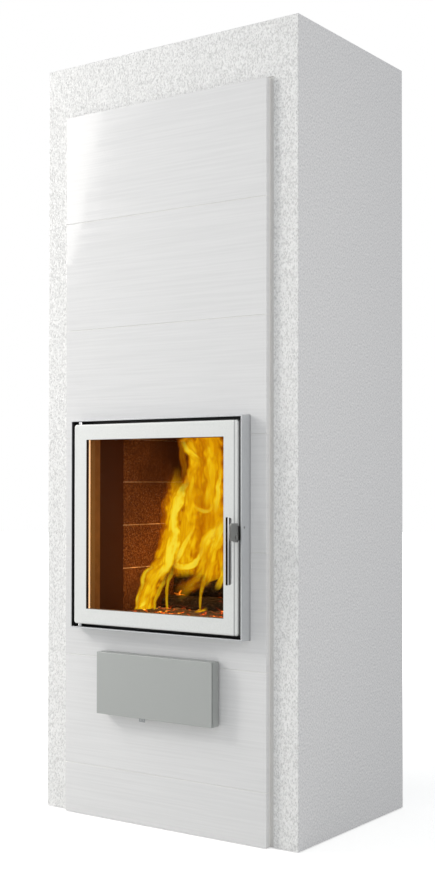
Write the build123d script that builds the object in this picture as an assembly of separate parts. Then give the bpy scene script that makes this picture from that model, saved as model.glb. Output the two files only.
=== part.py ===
from build123d import *
from math import asin, atan2, cos, degrees, hypot, radians, sin
import os

# Plastered heat-storing stove with a glazed tile front, in millimetres.
# +Z is up, the front faces -Y, and the origin is on the floor under the middle of the body.

# Body and masonry
BODY_DEPTH = 525.0
BODY_HEIGHT = 1950.0
COAT = 8.0  # thickness of the render
COAT_EDGE = 3.0
FLOOR_GAP = 2.0  # render and tiles stop this far above the floor
WALL = 60.0  # precast casing panels
BASE_HEIGHT = 60.0
TOP_HEIGHT = 60.0
STORAGE_SLAB = 40.0  # between the side walls and the core, so it widens the body
CORE_GAP = 1.0  # expansion gap round the core and the steel parts

# Tile field
TILE_STRIP = 46.3  # tiles beside the door frame
TOP_BAND = 140.0  # render above the tiles
PLINTH_TILE = 130.0
TILE_HEIGHT = 280.0  # with its joint, up to the middle of the door
LOWER_ROWS = 3  # above the plinth course
UPPER_ROWS = 3  # these share the height that is left
TILE_JOINT = 1.6
TILE_THICKNESS = 12.0
TILE_PROUD = 16.0
TILE_EDGE = 0.8
GROUT_RECESS = 0.8
DOOR_JOINT = 1.0  # between the tiles and the steel frame
RENDER_JOINT = 10.0  # between the tiles and the render at the sides
TOP_JOINT = 4.0
JOINT_RECESS = 3.0  # this joint's mortar, behind the render's face

# Door frame and throat
FRAME_SIZE = 531.0
FRAME_PROUD = 34.0
FRAME_WALL = 4.0
FRAME_INSET = 4.0  # back of the frame's flange, behind the tile face
FLANGE = 3.0
FLANGE_SIDE = 49.5  # from the frame's outline to the throat
FLANGE_END = 45.5
THROAT_LIP = 3.0  # the throat's wall, which stands forward into the leaf's recess
LIP_GAP = 2.0
CHANNEL_WALL = 3.0
CHANNEL_INSET = 7.0  # mounting channel inside the frame's outline
SCREW_INSET = 14.0
SCREW_SPACING = 340.0  # across the door, of the frame's and the retainer's screws
SCREW_HEAD_R = 4.5
SCREW_HEAD = 2.5
SCREW_R = 2.4
SCREW_LENGTH = 9.0

# Door leaf and glass
LEAF_GAP = 7.25
LEAF_THICKNESS = 28.0
LEAF_CORNER = 7.0
LEAF_EDGE = 4.0
STILE = 41.5
RAIL = 39.5
LIP = 9.5  # depth of the opening's edge in front of the glass
GLASS_COVER = 12.0  # the lip laps the glass by this much
GLASS = 4.0
GLASS_SEAL = 2.0  # fibre tape on both sides of the glass
GLASS_PLAY = 1.0
LEDGE = 5.0  # the retainer rests on this step
RETAINER = 2.0
RETAINER_LAP = 4.0
RETAINER_SCREW_R = 1.5
RETAINER_HEAD_R = 2.6
RETAINER_HEAD = 1.6
ROPE_WIDTH = 9.0
ROPE_GROOVE = 4.0
ROPE_CORNER = 5.0  # the rope's corners are cut off by this much

# Door hinge
HINGE_INSET_X = 12.5  # pin axis from the leaf's left edge
HINGE_INSET_Y = 12.0  # and from its front
HINGE_PIN_R = 3.0
HINGE_COLLAR_R = 6.0
HINGE_DEPTH = 12.0
RUNNING = 0.05  # radial clearance of a turning pin
PLAY = 0.3  # between pieces that move past each other

# Latch and handle
BAR_R = 7.2
BAR_LENGTH = 158.5
BAR_DROP = 31.8  # middle of the bar under the pivot
BAR_SLANT = 5.5  # the front of the bar is longer by this at each end
BAR_OUT = 28.0  # bar axis in front of the leaf
SPIGOT_R = 4.0
SPIGOT_RISE = 12.0  # above the pivot
PLATE = 3.5
PLATE_TOP = 33.0  # above the pivot
PLATE_BOTTOM = 8.0
PLATE_FRONT = 6.0  # in front of the bar's axis
PLATE_CORNER = 5.0
PIVOT_OUT = 11.5  # in front of the leaf
PIVOT_DROP = 22.0  # under the middle of the door
PIVOT_R = 3.0
PIVOT_HEAD_R = 4.5
PIVOT_HEAD = 1.5
LATCHED_TURN = 8.0  # degrees from rest to fully latched
HOOK = 4.0  # thickness of the hook behind its slot
HOOK_CLEAR = 0.7  # hook tip under the stud at rest
SLOT_TOP_ANGLE = 80.0
STUD_R = 3.0
STUD_BACK = 10.7  # behind the leaf's front
STUD_RISE = 22.7  # above the pivot
STUD_GAP = 0.8  # stud tip from the leaf's edge
BEARING_R = 7.0
BEARING_WIDTH = 12.0
BEARING_FOOT = 24.0

# Firebox
HEARTH_BASE = 61.5
HEARTH_SLAB = 50.0
SILL = 14.5  # from the hearth up to the throat
SILL_STONE = 27.0
SILL_RISE = 2.0  # above the hearth
COURSE = 114.0
COURSES = 5
BRICK = 64.0
BRICK_LENGTH = 230.0
SHORT_BRICK = 172.0  # first brick of every second course
BRICK_EDGE = 1.5
JAMB_FRONT = 40.0
JAMB_REAR = 54.5
CEILING = 50.0
SMOKE_SLOT_WIDTH = 300.0
SMOKE_SLOT_DEPTH = 80.0

# Grate
GRATE_WIDTH = 240.0
GRATE_DEPTH = 170.0
GRATE_THICKNESS = 20.0
GRATE_REBATE = 12.0
GRATE_SLOT = 9.0
GRATE_BAR = 11.0
GRATE_RIM = 22.0

# Storage core and flue
RINGS = 3
CORE_CAP = 49.0
RING_WALL = 60.0
DIVIDER = 40.0
DIVIDER_DROP = 180.0  # the smoke passes over the divider here
FLUE_R = 75.0
FLUE_TUBE = 3.0
FLUE_OUT = 28.0

# Ash drawer and its housing
COVER_WIDTH = 356.0
COVER_HEIGHT = 155.0
COVER_PROUD = 33.0
COVER_PLATE = 4.0
COVER_GROOVE = 1.8
COVER_STANDOFF = 4.0
COVER_WALL = 2.5
COVER_EDGE = 1.0
COVER_LAP_SIDE = 12.0  # the cover laps the chamber's mouth
COVER_LAP_TOP = 24.5
CHAMBER_Z = 277.0
CHAMBER_WALL = 2.5
CHAMBER_RIM = 4.0
CHAMBER_SPACE = 30.0  # behind the pan
PAN_LENGTH = 375.0
PAN_WALL = 2.0
PAN_RIM = 5.0
PAN_SIDE = 8.5  # from its rim to the chamber's wall
PAN_HEADROOM = 28.7
RUNNER_WIDTH = 10.0
RUNNER_HEIGHT = 10.0
RUNNER_INSET = 8.0
BRACKET_WIDTH = 30.0
BRACKET_HEIGHT = 50.0
BRACKET_DEPTH = 10.0
BRACKET_SPACING = 180.0

# Air register in the floor of the cover casing
AIR_PLATE = 1.5
AIR_SLOTS = 5
AIR_SLOT_LENGTH = 24.0
AIR_SLOT_WIDTH = 5.5
AIR_SLOT_PITCH = 52.0
AIR_LAP = 4.0  # the closed plate covers each slot by this at its ends
AIR_LIFT = 0.15
LEVER_X = -45.0
LEVER_WIDTH = 18.0
LEVER_DROP = 11.5
LEVER_HOLE_R = 1.8
GUIDE_WALL = 1.8
GUIDE_LIP = 2.0
GUIDE_EDGE = 1.4  # from the guides to the casing's edges
GUIDE_END = 5.5

# Firewood on the grate
LOG_LENGTH = 300.0
LOG_R = 36.0
LOWER_LOG_R = 43.0
LOG_SPREAD = 98.0

# Planes and levels that follow from the sizes above
throat_x = FRAME_SIZE / 2 - FLANGE_SIDE
firebox_x = throat_x
core_x = firebox_x + BRICK
inner_x = core_x + STORAGE_SLAB + 2 * CORE_GAP
case_x = inner_x + WALL
body_x = case_x + COAT
body_y = BODY_DEPTH / 2
case_y = body_y - COAT
inner_y = case_y - WALL
case_top = BODY_HEIGHT - COAT - TOP_HEIGHT
field_x = FRAME_SIZE / 2 + TILE_STRIP
field_top = BODY_HEIGHT - TOP_BAND
lower_top = PLINTH_TILE + LOWER_ROWS * TILE_HEIGHT
upper_tile = (field_top - lower_top) / UPPER_ROWS
tile_front = -body_y - TILE_PROUD
tile_back = tile_front + TILE_THICKNESS

frame_front = tile_front - FRAME_PROUD
flange_back = tile_front + FRAME_INSET
flange_front = flange_back - FLANGE
rim_in = FRAME_SIZE / 2 - FRAME_WALL

cover_x = COVER_WIDTH / 2
cover_low = CHAMBER_Z - CHAMBER_RIM / 2 - COVER_WALL
cover_front = tile_front - COVER_PROUD
cover_back = tile_front - COVER_STANDOFF
casing_front = cover_front + COVER_PLATE + COVER_GROOVE
chamber_x = cover_x - COVER_LAP_SIDE
chamber_top = cover_low + COVER_HEIGHT - COVER_LAP_TOP
pan_x = chamber_x - CHAMBER_WALL - PAN_SIDE - PAN_RIM
pan_low = CHAMBER_Z + CHAMBER_WALL + RUNNER_HEIGHT + PLAY
pan_top = chamber_top - CHAMBER_WALL - PAN_HEADROOM
pan_front = cover_front + COVER_PLATE + BRACKET_DEPTH
pan_back = pan_front + PAN_LENGTH
chamber_back = pan_back + CHAMBER_SPACE + CHAMBER_WALL
chute_x = GRATE_WIDTH / 2 - GRATE_REBATE
chute_y = GRATE_DEPTH / 2 - GRATE_REBATE

air_travel = AIR_SLOT_LENGTH + AIR_LAP
guide_x = cover_x - COVER_WALL - GUIDE_END
air_plate_x = guide_x - air_travel - 2 * CORE_GAP
register_y = (casing_front + cover_back - COVER_WALL) / 2
register_z = cover_low + COVER_WALL + AIR_LIFT
guide_y = (cover_back - COVER_WALL - casing_front) / 2 - GUIDE_EDGE
air_plate_y = guide_y - GUIDE_WALL - AIR_LIFT
lever_y = register_y + air_plate_y - GUIDE_LIP - 2 * AIR_PLATE

hearth_z = chamber_top + HEARTH_BASE + HEARTH_SLAB
throat_half = FRAME_SIZE / 2 - FLANGE_END
throat_low = hearth_z + SILL
throat_high = throat_low + 2 * throat_half
door_z = throat_low + throat_half

leaf_size = FRAME_SIZE - 2 * (FRAME_WALL + LEAF_GAP)
leaf_x = leaf_size / 2
leaf_front = frame_front
leaf_back = leaf_front + LEAF_THICKNESS
opening_width = leaf_size - 2 * STILE
opening_height = leaf_size - 2 * RAIL
seal_back = leaf_front + LIP + GLASS_SEAL
glass_back = seal_back + GLASS
retainer_front = glass_back + GLASS_SEAL
retainer_back = retainer_front + RETAINER

hinge_x = -leaf_x + HINGE_INSET_X
hinge_y = leaf_front + HINGE_INSET_Y

pivot_y = leaf_front - PIVOT_OUT
pivot_z = door_z - PIVOT_DROP
bar_y = leaf_front - BAR_OUT
bar_z = pivot_z - BAR_DROP
plate_left = leaf_x + PLAY
plate_right = plate_left + PLATE
bar_x = plate_left - BAR_R
stud_y = leaf_front + STUD_BACK
stud_z = pivot_z + STUD_RISE
stud_reach = hypot(stud_y - pivot_y, STUD_RISE)
stud_angle = degrees(atan2(STUD_RISE, stud_y - pivot_y))

brick_back = inner_y - BRICK
jamb_back = -case_y + JAMB_FRONT + JAMB_REAR
ceiling_z = hearth_z + COURSES * COURSE
rings_z = ceiling_z + CEILING
cap_z = case_top - CORE_CAP
ring_height = (cap_z - rings_z) / RINGS
flue_z = cap_z - ring_height / 2
ring_y = inner_y - RING_WALL
smoke_slot_y = -(ring_y + DIVIDER / 2) / 2


def block(x, y, z):
    """A box from three pairs, each the lowest and highest value on an axis."""
    sides = (x, y, z)
    middle = [(side[0] + side[1]) / 2 for side in sides]
    return Pos(*middle) * Box(*[side[1] - side[0] for side in sides])


def both(half):
    return (-half, half)


def facing(sketch, front, back):
    """A sketch in X and Z, made solid between two Y planes."""
    return extrude(Plane.XZ.offset(-back) * sketch, amount=back - front)


def sideways(sketch, left, right):
    """A sketch in Y and Z, made solid between two X planes."""
    return extrude(Plane.YZ.offset(left) * sketch, amount=right - left)


def upright(sketch, low, high):
    """A sketch in X and Y, made solid between two levels."""
    return extrude(Plane.XY.offset(low) * sketch, amount=high - low)


def door_ring(outer, inner, front, back, corner=0.0):
    """A frame round the door's centre from its outer and inner (width, height)."""
    outline = RectangleRounded(*outer, corner) if corner else Rectangle(*outer)
    return facing(Pos(0, door_z) * (outline - Rectangle(*inner)), front, back)


def round_front(solid, radius):
    """Round the edges of the face that looks to the front."""
    body = solid.solid()
    return body.fillet(radius, body.faces().sort_by(Axis.Y)[0].edges())


def four_spots(half_x, half_z):
    """Two spots above the door's centre and two below."""
    return [(i * half_x, door_z + k * half_z) for i in (-1, 1) for k in (-1, 1)]


# Casing and render


def flue_hole(front, back):
    return facing(Pos(0, flue_z) * Circle(FLUE_R + FLUE_TUBE + CORE_GAP), front, back)


def casing_back():
    panel = block(both(inner_x), (inner_y, case_y), (BASE_HEIGHT, case_top))
    return panel - flue_hole(inner_y, case_y)


def front_panel_lower():
    panel = block(both(core_x), (-case_y, -inner_y), (BASE_HEIGHT, hearth_z))
    panel -= sill_stone()
    tunnel_z = (CHAMBER_Z, chamber_top + CORE_GAP)
    return panel - block(both(chamber_x + CORE_GAP), (-case_y, -inner_y), tunnel_z)


def plaster_coat():
    shell = block(both(body_x), both(body_y), (FLOOR_GAP, BODY_HEIGHT))
    rounded = shell.edges().filter_by(Axis.Z) + shell.faces().sort_by(Axis.Z)[-1].edges()
    shell = fillet(rounded, COAT_EDGE)
    shell -= block(both(case_x), both(case_y), (0, BODY_HEIGHT - COAT))
    field = (0, field_top + TOP_JOINT)
    shell -= block(both(field_x + RENDER_JOINT), (-body_y, -case_y), field)
    return shell - flue_hole(case_y, body_y)


# Tiles


def tile_cutouts(front, back):
    door_half = FRAME_SIZE / 2 + DOOR_JOINT
    door = block(
        both(door_half),
        (front, back),
        (door_z - door_half, door_z + door_half),
    )
    ash_x = chamber_x + CORE_GAP
    ash_z = (CHAMBER_Z - CORE_GAP, chamber_top + CORE_GAP)
    return door + block(both(ash_x), (front, back), ash_z)


def tile_levels():
    """Joint levels from the floor gap to the top of the field."""
    lower = [PLINTH_TILE + row * TILE_HEIGHT for row in range(LOWER_ROWS)]
    upper = [lower_top + row * upper_tile for row in range(UPPER_ROWS)]
    return [FLOOR_GAP - TILE_JOINT / 2] + lower + upper + [field_top + TILE_JOINT / 2]


def tile_course(row):
    levels = tile_levels()
    low = levels[row] + TILE_JOINT / 2
    high = levels[row + 1] - TILE_JOINT / 2
    course = block(both(field_x), (tile_front, tile_back), (low, high))
    course -= tile_cutouts(tile_front, tile_back)
    return [round_front(tile, TILE_EDGE) for tile in course.solids()]


def tile_bed():
    bed = block(both(field_x), (tile_back, -case_y), (FLOOR_GAP, field_top))
    surround = (FLOOR_GAP, field_top + TOP_JOINT)
    bed += block(both(field_x + RENDER_JOINT), (JOINT_RECESS - body_y, -case_y), surround)
    for level in tile_levels()[1:-1]:
        joint = (level - TILE_JOINT / 2, level + TILE_JOINT / 2)
        bed += block(both(field_x), (tile_front + GROUT_RECESS, tile_back), joint)
    return bed - tile_cutouts(tile_front, -case_y)


# Core, hearth and firebox


def sill_stone():
    top = hearth_z + SILL_RISE
    return block(both(throat_x), (-case_y, -inner_y), (top - SILL_STONE, top))


def core_blocks():
    level = (CHAMBER_Z, chamber_top)
    beside = chamber_x + CORE_GAP
    return [
        block((-core_x, -beside), both(inner_y), level),
        block((beside, core_x), both(inner_y), level),
        block(both(beside), (chamber_back + CORE_GAP, inner_y), level),
    ]


def hearth_base():
    slab = block(both(core_x), both(inner_y), (chamber_top, hearth_z - HEARTH_SLAB))
    return slab - block(both(chute_x), both(chute_y), (chamber_top, hearth_z))


def hearth_slab():
    slab = block(both(core_x), both(inner_y), (hearth_z - HEARTH_SLAB, hearth_z))
    slab -= block(both(chute_x), both(chute_y), (0, hearth_z))
    seat_x = GRATE_WIDTH / 2 + CORE_GAP
    seat_y = GRATE_DEPTH / 2 + CORE_GAP
    return slab - block(both(seat_x), both(seat_y), (hearth_z - GRATE_THICKNESS, hearth_z))


def grate():
    low = hearth_z - GRATE_THICKNESS
    plate = block(both(GRATE_WIDTH / 2), both(GRATE_DEPTH / 2), (low, hearth_z))
    pitch = GRATE_SLOT + GRATE_BAR
    count = int((GRATE_WIDTH - 2 * GRATE_RIM + GRATE_BAR) // pitch)
    slot = Rectangle(GRATE_SLOT, GRATE_DEPTH - 2 * GRATE_RIM)
    slot = chamfer(slot.vertices(), GRATE_SLOT / 3)
    slots = Sketch() + [loc * slot for loc in GridLocations(pitch, 1, count, 1)]
    return plate - upright(slots, low, hearth_z)


def brick(x, y, z, inward):
    """A brick whose face towards the fire has its edges broken."""
    shape = block(x, y, z)
    face = shape.faces().sort_by(lambda side: side.normal_at().dot(Vector(*inward)))[-1]
    return chamfer(face.edges(), BRICK_EDGE)


def brick_wall(place, inward, start, end):
    """Courses of bricks laid end to end, the vertical joints broken between courses."""
    bricks = []
    for course in range(COURSES):
        low = hearth_z + course * COURSE
        joints = [start, start + (SHORT_BRICK if course % 2 else BRICK_LENGTH)]
        while end - joints[-1] > BRICK_LENGTH:
            joints.append(joints[-1] + BRICK_LENGTH)
        for left, right in zip(joints, joints[1:] + [end]):
            bricks.append(brick(*place((left, right)), (low, low + COURSE), inward))
    return bricks


def side_wall(side):
    x = tuple(sorted((side * firebox_x, side * core_x)))
    return brick_wall(lambda run: (x, run), (-side, 0, 0), jamb_back, brick_back)


def back_wall():
    y = (brick_back, inner_y)
    return brick_wall(lambda run: (run, y), (0, -1, 0), -core_x, core_x)


def jambs():
    level = (hearth_z, throat_high)
    joint = -case_y + JAMB_FRONT
    pieces = []
    for side in (-1, 1):
        x = tuple(sorted((side * throat_x, side * core_x)))
        pieces.append(block(x, (-case_y, joint), level))
        pieces.append(block(x, (joint, jamb_back), level))
    return pieces


def firebox_ceiling():
    slab = block(both(core_x), both(inner_y), (ceiling_z, rings_z))
    half = SMOKE_SLOT_DEPTH / 2
    run = (smoke_slot_y - half, smoke_slot_y + half)
    return slab - block(both(SMOKE_SLOT_WIDTH / 2), run, (ceiling_z, rings_z))


def storage_ring(index):
    low = rings_z + index * ring_height
    level = (low, low + ring_height)
    ring = block(both(core_x), both(inner_y), level)
    ring -= block(both(core_x - RING_WALL), both(ring_y), level)
    if index == RINGS - 1:
        ring -= flue_hole(ring_y, inner_y)
    return ring


def flue_collar():
    tube = Circle(FLUE_R + FLUE_TUBE) - Circle(FLUE_R)
    return facing(Pos(0, flue_z) * tube, ring_y, body_y + FLUE_OUT)


def firewood():
    """Two half-round logs with the round one lying in the hollow between them."""
    floor = hearth_z + PLAY
    lower = Circle(LOWER_LOG_R) - Pos(0, -LOWER_LOG_R) * Rectangle(
        3 * LOWER_LOG_R, 2 * LOWER_LOG_R
    )
    reach = LOWER_LOG_R + LOG_R + PLAY
    height = (reach**2 - (LOG_SPREAD / 2) ** 2) ** 0.5
    ends = both(LOG_LENGTH / 2)
    logs = [sideways(Pos(side * LOG_SPREAD / 2, floor) * lower, *ends) for side in (-1, 1)]
    return logs + [sideways(Pos(0, floor + height) * Circle(LOG_R), *ends)]


# Door frame


def screw_spots():
    return four_spots(SCREW_SPACING / 2, FRAME_SIZE / 2 - SCREW_INSET)


def door_frame():
    outer = (FRAME_SIZE, FRAME_SIZE)
    rim = round_front(door_ring(outer, (2 * rim_in, 2 * rim_in), frame_front, flange_back), 1.0)
    flange = door_ring(outer, (2 * throat_x, 2 * throat_half), flange_front, flange_back)
    lip_out = (2 * (throat_x + THROAT_LIP), 2 * (throat_half + THROAT_LIP))
    throat = (2 * throat_x, 2 * throat_half)
    frame = rim + flange + door_ring(lip_out, throat, retainer_back + LIP_GAP, flange_front)
    for x, z in screw_spots():
        frame -= facing(Pos(x, z) * Circle(SCREW_R + RUNNING), flange_front, flange_back)
    hole = Pos(stud_y, stud_z) * Circle(STUD_R + RUNNING)
    return frame - sideways(hole, rim_in, FRAME_SIZE / 2)


def mounting_channel():
    """A channel ring behind the door frame, open to its outer side."""
    half = FRAME_SIZE / 2 - CHANNEL_INSET
    throat = (2 * throat_x, 2 * throat_half)
    ring = door_ring((2 * half, 2 * half), throat, flange_back, -case_y)
    web = [side + 2 * CHANNEL_WALL for side in throat]
    back = -case_y - CHANNEL_WALL
    ring -= door_ring((2 * half, 2 * half), web, flange_back + CHANNEL_WALL, back)
    for x, z in screw_spots():
        hole = Pos(x, z) * Circle(SCREW_R + RUNNING)
        ring -= facing(hole, flange_back, flange_back + CHANNEL_WALL)
    return ring


def hex_screw(place, head_r, shank_r, seat, head, tip):
    """A screw along Y whose hexagon head stands on the seat plane."""
    bolt = facing(place * Circle(shank_r), min(seat, tip), max(seat, tip))
    return bolt + facing(place * RegularPolygon(head_r, 6), min(seat, head), max(seat, head))


def frame_screws():
    head = flange_front - SCREW_HEAD
    tip = flange_front + SCREW_LENGTH
    sizes = (SCREW_HEAD_R, SCREW_R, flange_front, head, tip)
    return [hex_screw(Pos(x, z), *sizes) for x, z in screw_spots()]


def hinge_pins():
    """Collared pins, welded to the rim above and below the leaf."""
    pins = []
    for side in (-1, 1):
        collar = (leaf_x + PLAY, rim_in)
        pin = (leaf_x - HINGE_DEPTH, rim_in)
        runs = [
            tuple(sorted(door_z + side * level for level in levels))
            for levels in (collar, pin)
        ]
        centre = Pos(hinge_x, hinge_y)
        shape = upright(centre * Circle(HINGE_COLLAR_R), *runs[0])
        pins.append(shape + upright(centre * Circle(HINGE_PIN_R), *runs[1]))
    return pins


def keeper_stud():
    """A pin through the frame's right side, its end seen from outside."""
    centre = Pos(stud_y, stud_z)
    return sideways(centre * Circle(STUD_R), leaf_x + STUD_GAP, FRAME_SIZE / 2)


# Door leaf


def rope_sizes():
    """The rope stays on the opening side of the hinge axis, so it never scrubs."""
    outer = leaf_size - 2 * HINGE_INSET_X - 1.0
    return (outer, outer), (outer - 2 * ROPE_WIDTH, outer - 2 * ROPE_WIDTH)


def rope_ring(front, back):
    outer, inner = rope_sizes()
    outline = Rectangle(*outer)
    outline = chamfer(outline.vertices(), ROPE_CORNER)
    return facing(Pos(0, door_z) * (outline - Rectangle(*inner)), front, back)


def rebate(lap):
    return (opening_width + 2 * lap, opening_height + 2 * lap)


def retainer_spots():
    return four_spots(SCREW_SPACING / 2, rebate(GLASS_COVER + LEDGE / 2)[1] / 2)


def door_leaf():
    leaf = facing(
        Pos(0, door_z) * RectangleRounded(leaf_size, leaf_size, LEAF_CORNER),
        leaf_front,
        leaf_back,
    )
    leaf = round_front(leaf, LEAF_EDGE)
    centre = Pos(0, door_z)
    leaf -= facing(centre * Rectangle(opening_width, opening_height), leaf_front, leaf_back)
    pocket = Rectangle(*rebate(GLASS_COVER))
    leaf -= facing(centre * pocket, leaf_front + LIP, leaf_back)
    step = Rectangle(*rebate(GLASS_COVER + LEDGE))
    leaf -= facing(centre * step, retainer_front, leaf_back)
    leaf -= rope_ring(leaf_back - ROPE_GROOVE, leaf_back)
    bore = Pos(hinge_x, hinge_y) * Circle(HINGE_PIN_R + RUNNING)
    depth = HINGE_DEPTH + PLAY
    leaf -= upright(bore, door_z + leaf_x - depth, door_z + leaf_x)
    leaf -= upright(bore, door_z - leaf_x, door_z - leaf_x + depth)
    for x, z in retainer_spots():
        hole = Pos(x, z) * Circle(RETAINER_SCREW_R + RUNNING)
        leaf -= facing(hole, retainer_front - LEDGE, retainer_front)
    return leaf


def glass_size():
    return [side - 2 * GLASS_PLAY for side in rebate(GLASS_COVER)]


def glass_pane():
    return facing(Pos(0, door_z) * Rectangle(*glass_size()), seal_back, glass_back)


def glass_seal():
    """Two rings of tape, one on each side of the glass."""
    inner = rebate(GLASS_PLAY)
    return [
        door_ring(glass_size(), inner, leaf_front + LIP, seal_back),
        door_ring(glass_size(), inner, glass_back, retainer_front),
    ]


def glass_retainer():
    outer = [side - GLASS_PLAY for side in rebate(GLASS_COVER + LEDGE)]
    ring = door_ring(outer, rebate(RETAINER_LAP), retainer_front, retainer_back)
    for x, z in retainer_spots():
        hole = Pos(x, z) * Circle(RETAINER_SCREW_R + RUNNING)
        ring -= facing(hole, retainer_front, retainer_back)
    return ring


def retainer_screws():
    head = retainer_back + RETAINER_HEAD
    tip = retainer_front - LEDGE + PLAY
    sizes = (RETAINER_HEAD_R, RETAINER_SCREW_R, retainer_back, head, tip)
    return [hex_screw(Pos(x, z), *sizes) for x, z in retainer_spots()]


def door_rope():
    return rope_ring(leaf_back - ROPE_GROOVE, flange_front - PLAY)


# Latch


def latch_bearing():
    """A round bearing with a foot that widens to the leaf's front."""
    foot = Polygon(
        (pivot_y, pivot_z - BEARING_R),
        (leaf_front, pivot_z - BEARING_FOOT / 2),
        (leaf_front, pivot_z + BEARING_FOOT / 2),
        (pivot_y, pivot_z + BEARING_R),
        align=None,
    )
    outline = foot + Pos(pivot_y, pivot_z) * Circle(BEARING_R)
    outline -= Pos(pivot_y, pivot_z) * Circle(PIVOT_R + RUNNING)
    return sideways(outline, leaf_x - BEARING_WIDTH, leaf_x)


def latch_pin():
    centre = Pos(pivot_y, pivot_z)
    left = leaf_x - BEARING_WIDTH
    right = plate_right + 2 * RUNNING
    pin = sideways(centre * Circle(PIVOT_R), left, right)
    return pin + sideways(centre * Circle(PIVOT_HEAD_R), right, right + PIVOT_HEAD)


def hook_slot():
    """The curved slot that swings past the stud, centred on the pivot."""
    inner = stud_reach - STUD_R - PLAY
    outer = stud_reach + STUD_R + PLAY
    start = stud_angle - LATCHED_TURN - degrees(asin((STUD_R + PLAY) / stud_reach))
    first, last = radians(start), radians(SLOT_TOP_ANGLE)
    middle = (first + last) / 2
    corners = [
        (reach * cos(angle), reach * sin(angle))
        for reach, angle in (
            (inner, first),
            (inner, middle),
            (inner, last),
            (outer, last),
            (outer, middle),
            (outer, first),
        )
    ]
    edges = [
        ThreePointArc(*corners[0:3]),
        Line(corners[2], corners[3]),
        ThreePointArc(*corners[3:6]),
        Line(corners[5], corners[0]),
    ]
    return make_face(edges)


def latch_plate():
    """A flat lever with the bar's spigot in front and a hook behind, drawn round the pivot."""
    front = bar_y - PLATE_FRONT - pivot_y
    tip = stud_z - pivot_z - STUD_R - HOOK_CLEAR
    reach = stud_reach + STUD_R + PLAY + HOOK
    back = (reach**2 - tip**2) ** 0.5
    body = Pos((front + PLATE_BOTTOM) / 2, (PLATE_TOP - PLATE_BOTTOM) / 2) * Rectangle(
        PLATE_BOTTOM - front, PLATE_TOP + PLATE_BOTTOM
    )
    corners = body.vertices().sort_by(Axis.X)[:2]
    body = fillet(corners, PLATE_CORNER)
    arm = Polygon(
        (0, -PLATE_BOTTOM),
        (PLATE_BOTTOM, -PLATE_BOTTOM),
        (0.85 * reach, -PLATE_BOTTOM / 4),
        (reach, tip / 2),
        (back, tip),
        (0.6 * reach, tip),
        (PLATE_BOTTOM, PLATE_TOP),
        (0, PLATE_TOP),
        align=None,
    )
    outline = body + arm - hook_slot() - Circle(PIVOT_R + RUNNING)
    plate = sideways(Pos(pivot_y, pivot_z) * outline, plate_left, plate_right)
    return plate + sideways(Pos(bar_y, pivot_z + SPIGOT_RISE) * Circle(SPIGOT_R), bar_x, plate_left)


def handle_bar():
    """A round bar, both ends cut at a slant so that the front is the longer side."""
    half = BAR_LENGTH / 2
    side = Polygon(
        (bar_y - BAR_R, bar_z - half),
        (bar_y + BAR_R, bar_z - half + BAR_SLANT),
        (bar_y + BAR_R, bar_z + half - BAR_SLANT),
        (bar_y - BAR_R, bar_z + half),
        align=None,
    )
    bar = upright(Pos(bar_x, bar_y) * Circle(BAR_R), bar_z - half, bar_z + half)
    bar &= sideways(side, bar_x - BAR_R, bar_x + BAR_R)
    socket = Pos(bar_y, pivot_z + SPIGOT_RISE) * Circle(SPIGOT_R + RUNNING)
    return bar - sideways(socket, bar_x - RUNNING, bar_x + BAR_R)


# Ash drawer and air register


def ash_chamber():
    """A sheet box with an open front, an ash chute in its roof and a rim for the cover."""
    level = (CHAMBER_Z, chamber_top)
    box = block(both(chamber_x), (cover_back, chamber_back), level)
    inside_z = (CHAMBER_Z + CHAMBER_WALL, chamber_top - CHAMBER_WALL)
    inside_x = both(chamber_x - CHAMBER_WALL)
    rim_level = (CHAMBER_Z - CHAMBER_RIM / 2, chamber_top + CHAMBER_RIM)
    rim_x = both(chamber_x + CHAMBER_RIM)
    box += block(rim_x, (cover_back, cover_back + CHAMBER_WALL), rim_level)
    box -= block(inside_x, (cover_back, chamber_back - CHAMBER_WALL), inside_z)
    return box - block(both(chute_x), both(chute_y), (pan_top, chamber_top))


def pan_runners():
    low = CHAMBER_Z + CHAMBER_WALL
    outer = pan_x - RUNNER_INSET
    run = (cover_back, chamber_back - CHAMBER_WALL)
    return [
        block(
            tuple(sorted((side * (outer - RUNNER_WIDTH), side * outer))),
            run,
            (low, low + RUNNER_HEIGHT),
        )
        for side in (-1, 1)
    ]


def cover_level(inset=0.0):
    return (cover_low + inset, cover_low + COVER_HEIGHT - inset)


def air_slots(low, high):
    slots = GridLocations(AIR_SLOT_PITCH, 1, AIR_SLOTS, 1)
    holes = Sketch() + [place * Rectangle(AIR_SLOT_LENGTH, AIR_SLOT_WIDTH) for place in slots]
    return upright(Pos(0, register_y) * holes, low, high)


def cover_casing():
    """A shallow sheet casing, open in front, with the air slots in its floor."""
    box = block(both(cover_x), (casing_front, cover_back), cover_level())
    inside = both(cover_x - COVER_WALL)
    box -= block(inside, (casing_front, cover_back - COVER_WALL), cover_level(COVER_WALL))
    mouth_x = both(chamber_x - CHAMBER_WALL)
    mouth_z = (CHAMBER_Z + CHAMBER_WALL, chamber_top - CHAMBER_WALL)
    box -= block(mouth_x, (cover_back - COVER_WALL, cover_back), mouth_z)
    floor = (cover_low, cover_low + COVER_WALL)
    box -= air_slots(*floor)
    lever_run = (
        LEVER_X - LEVER_WIDTH / 2 - CORE_GAP,
        LEVER_X + LEVER_WIDTH / 2 + air_travel + CORE_GAP,
    )
    lever_gap = (lever_y - PLAY - AIR_PLATE, lever_y + PLAY)
    return box - block(lever_run, lever_gap, floor)


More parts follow.
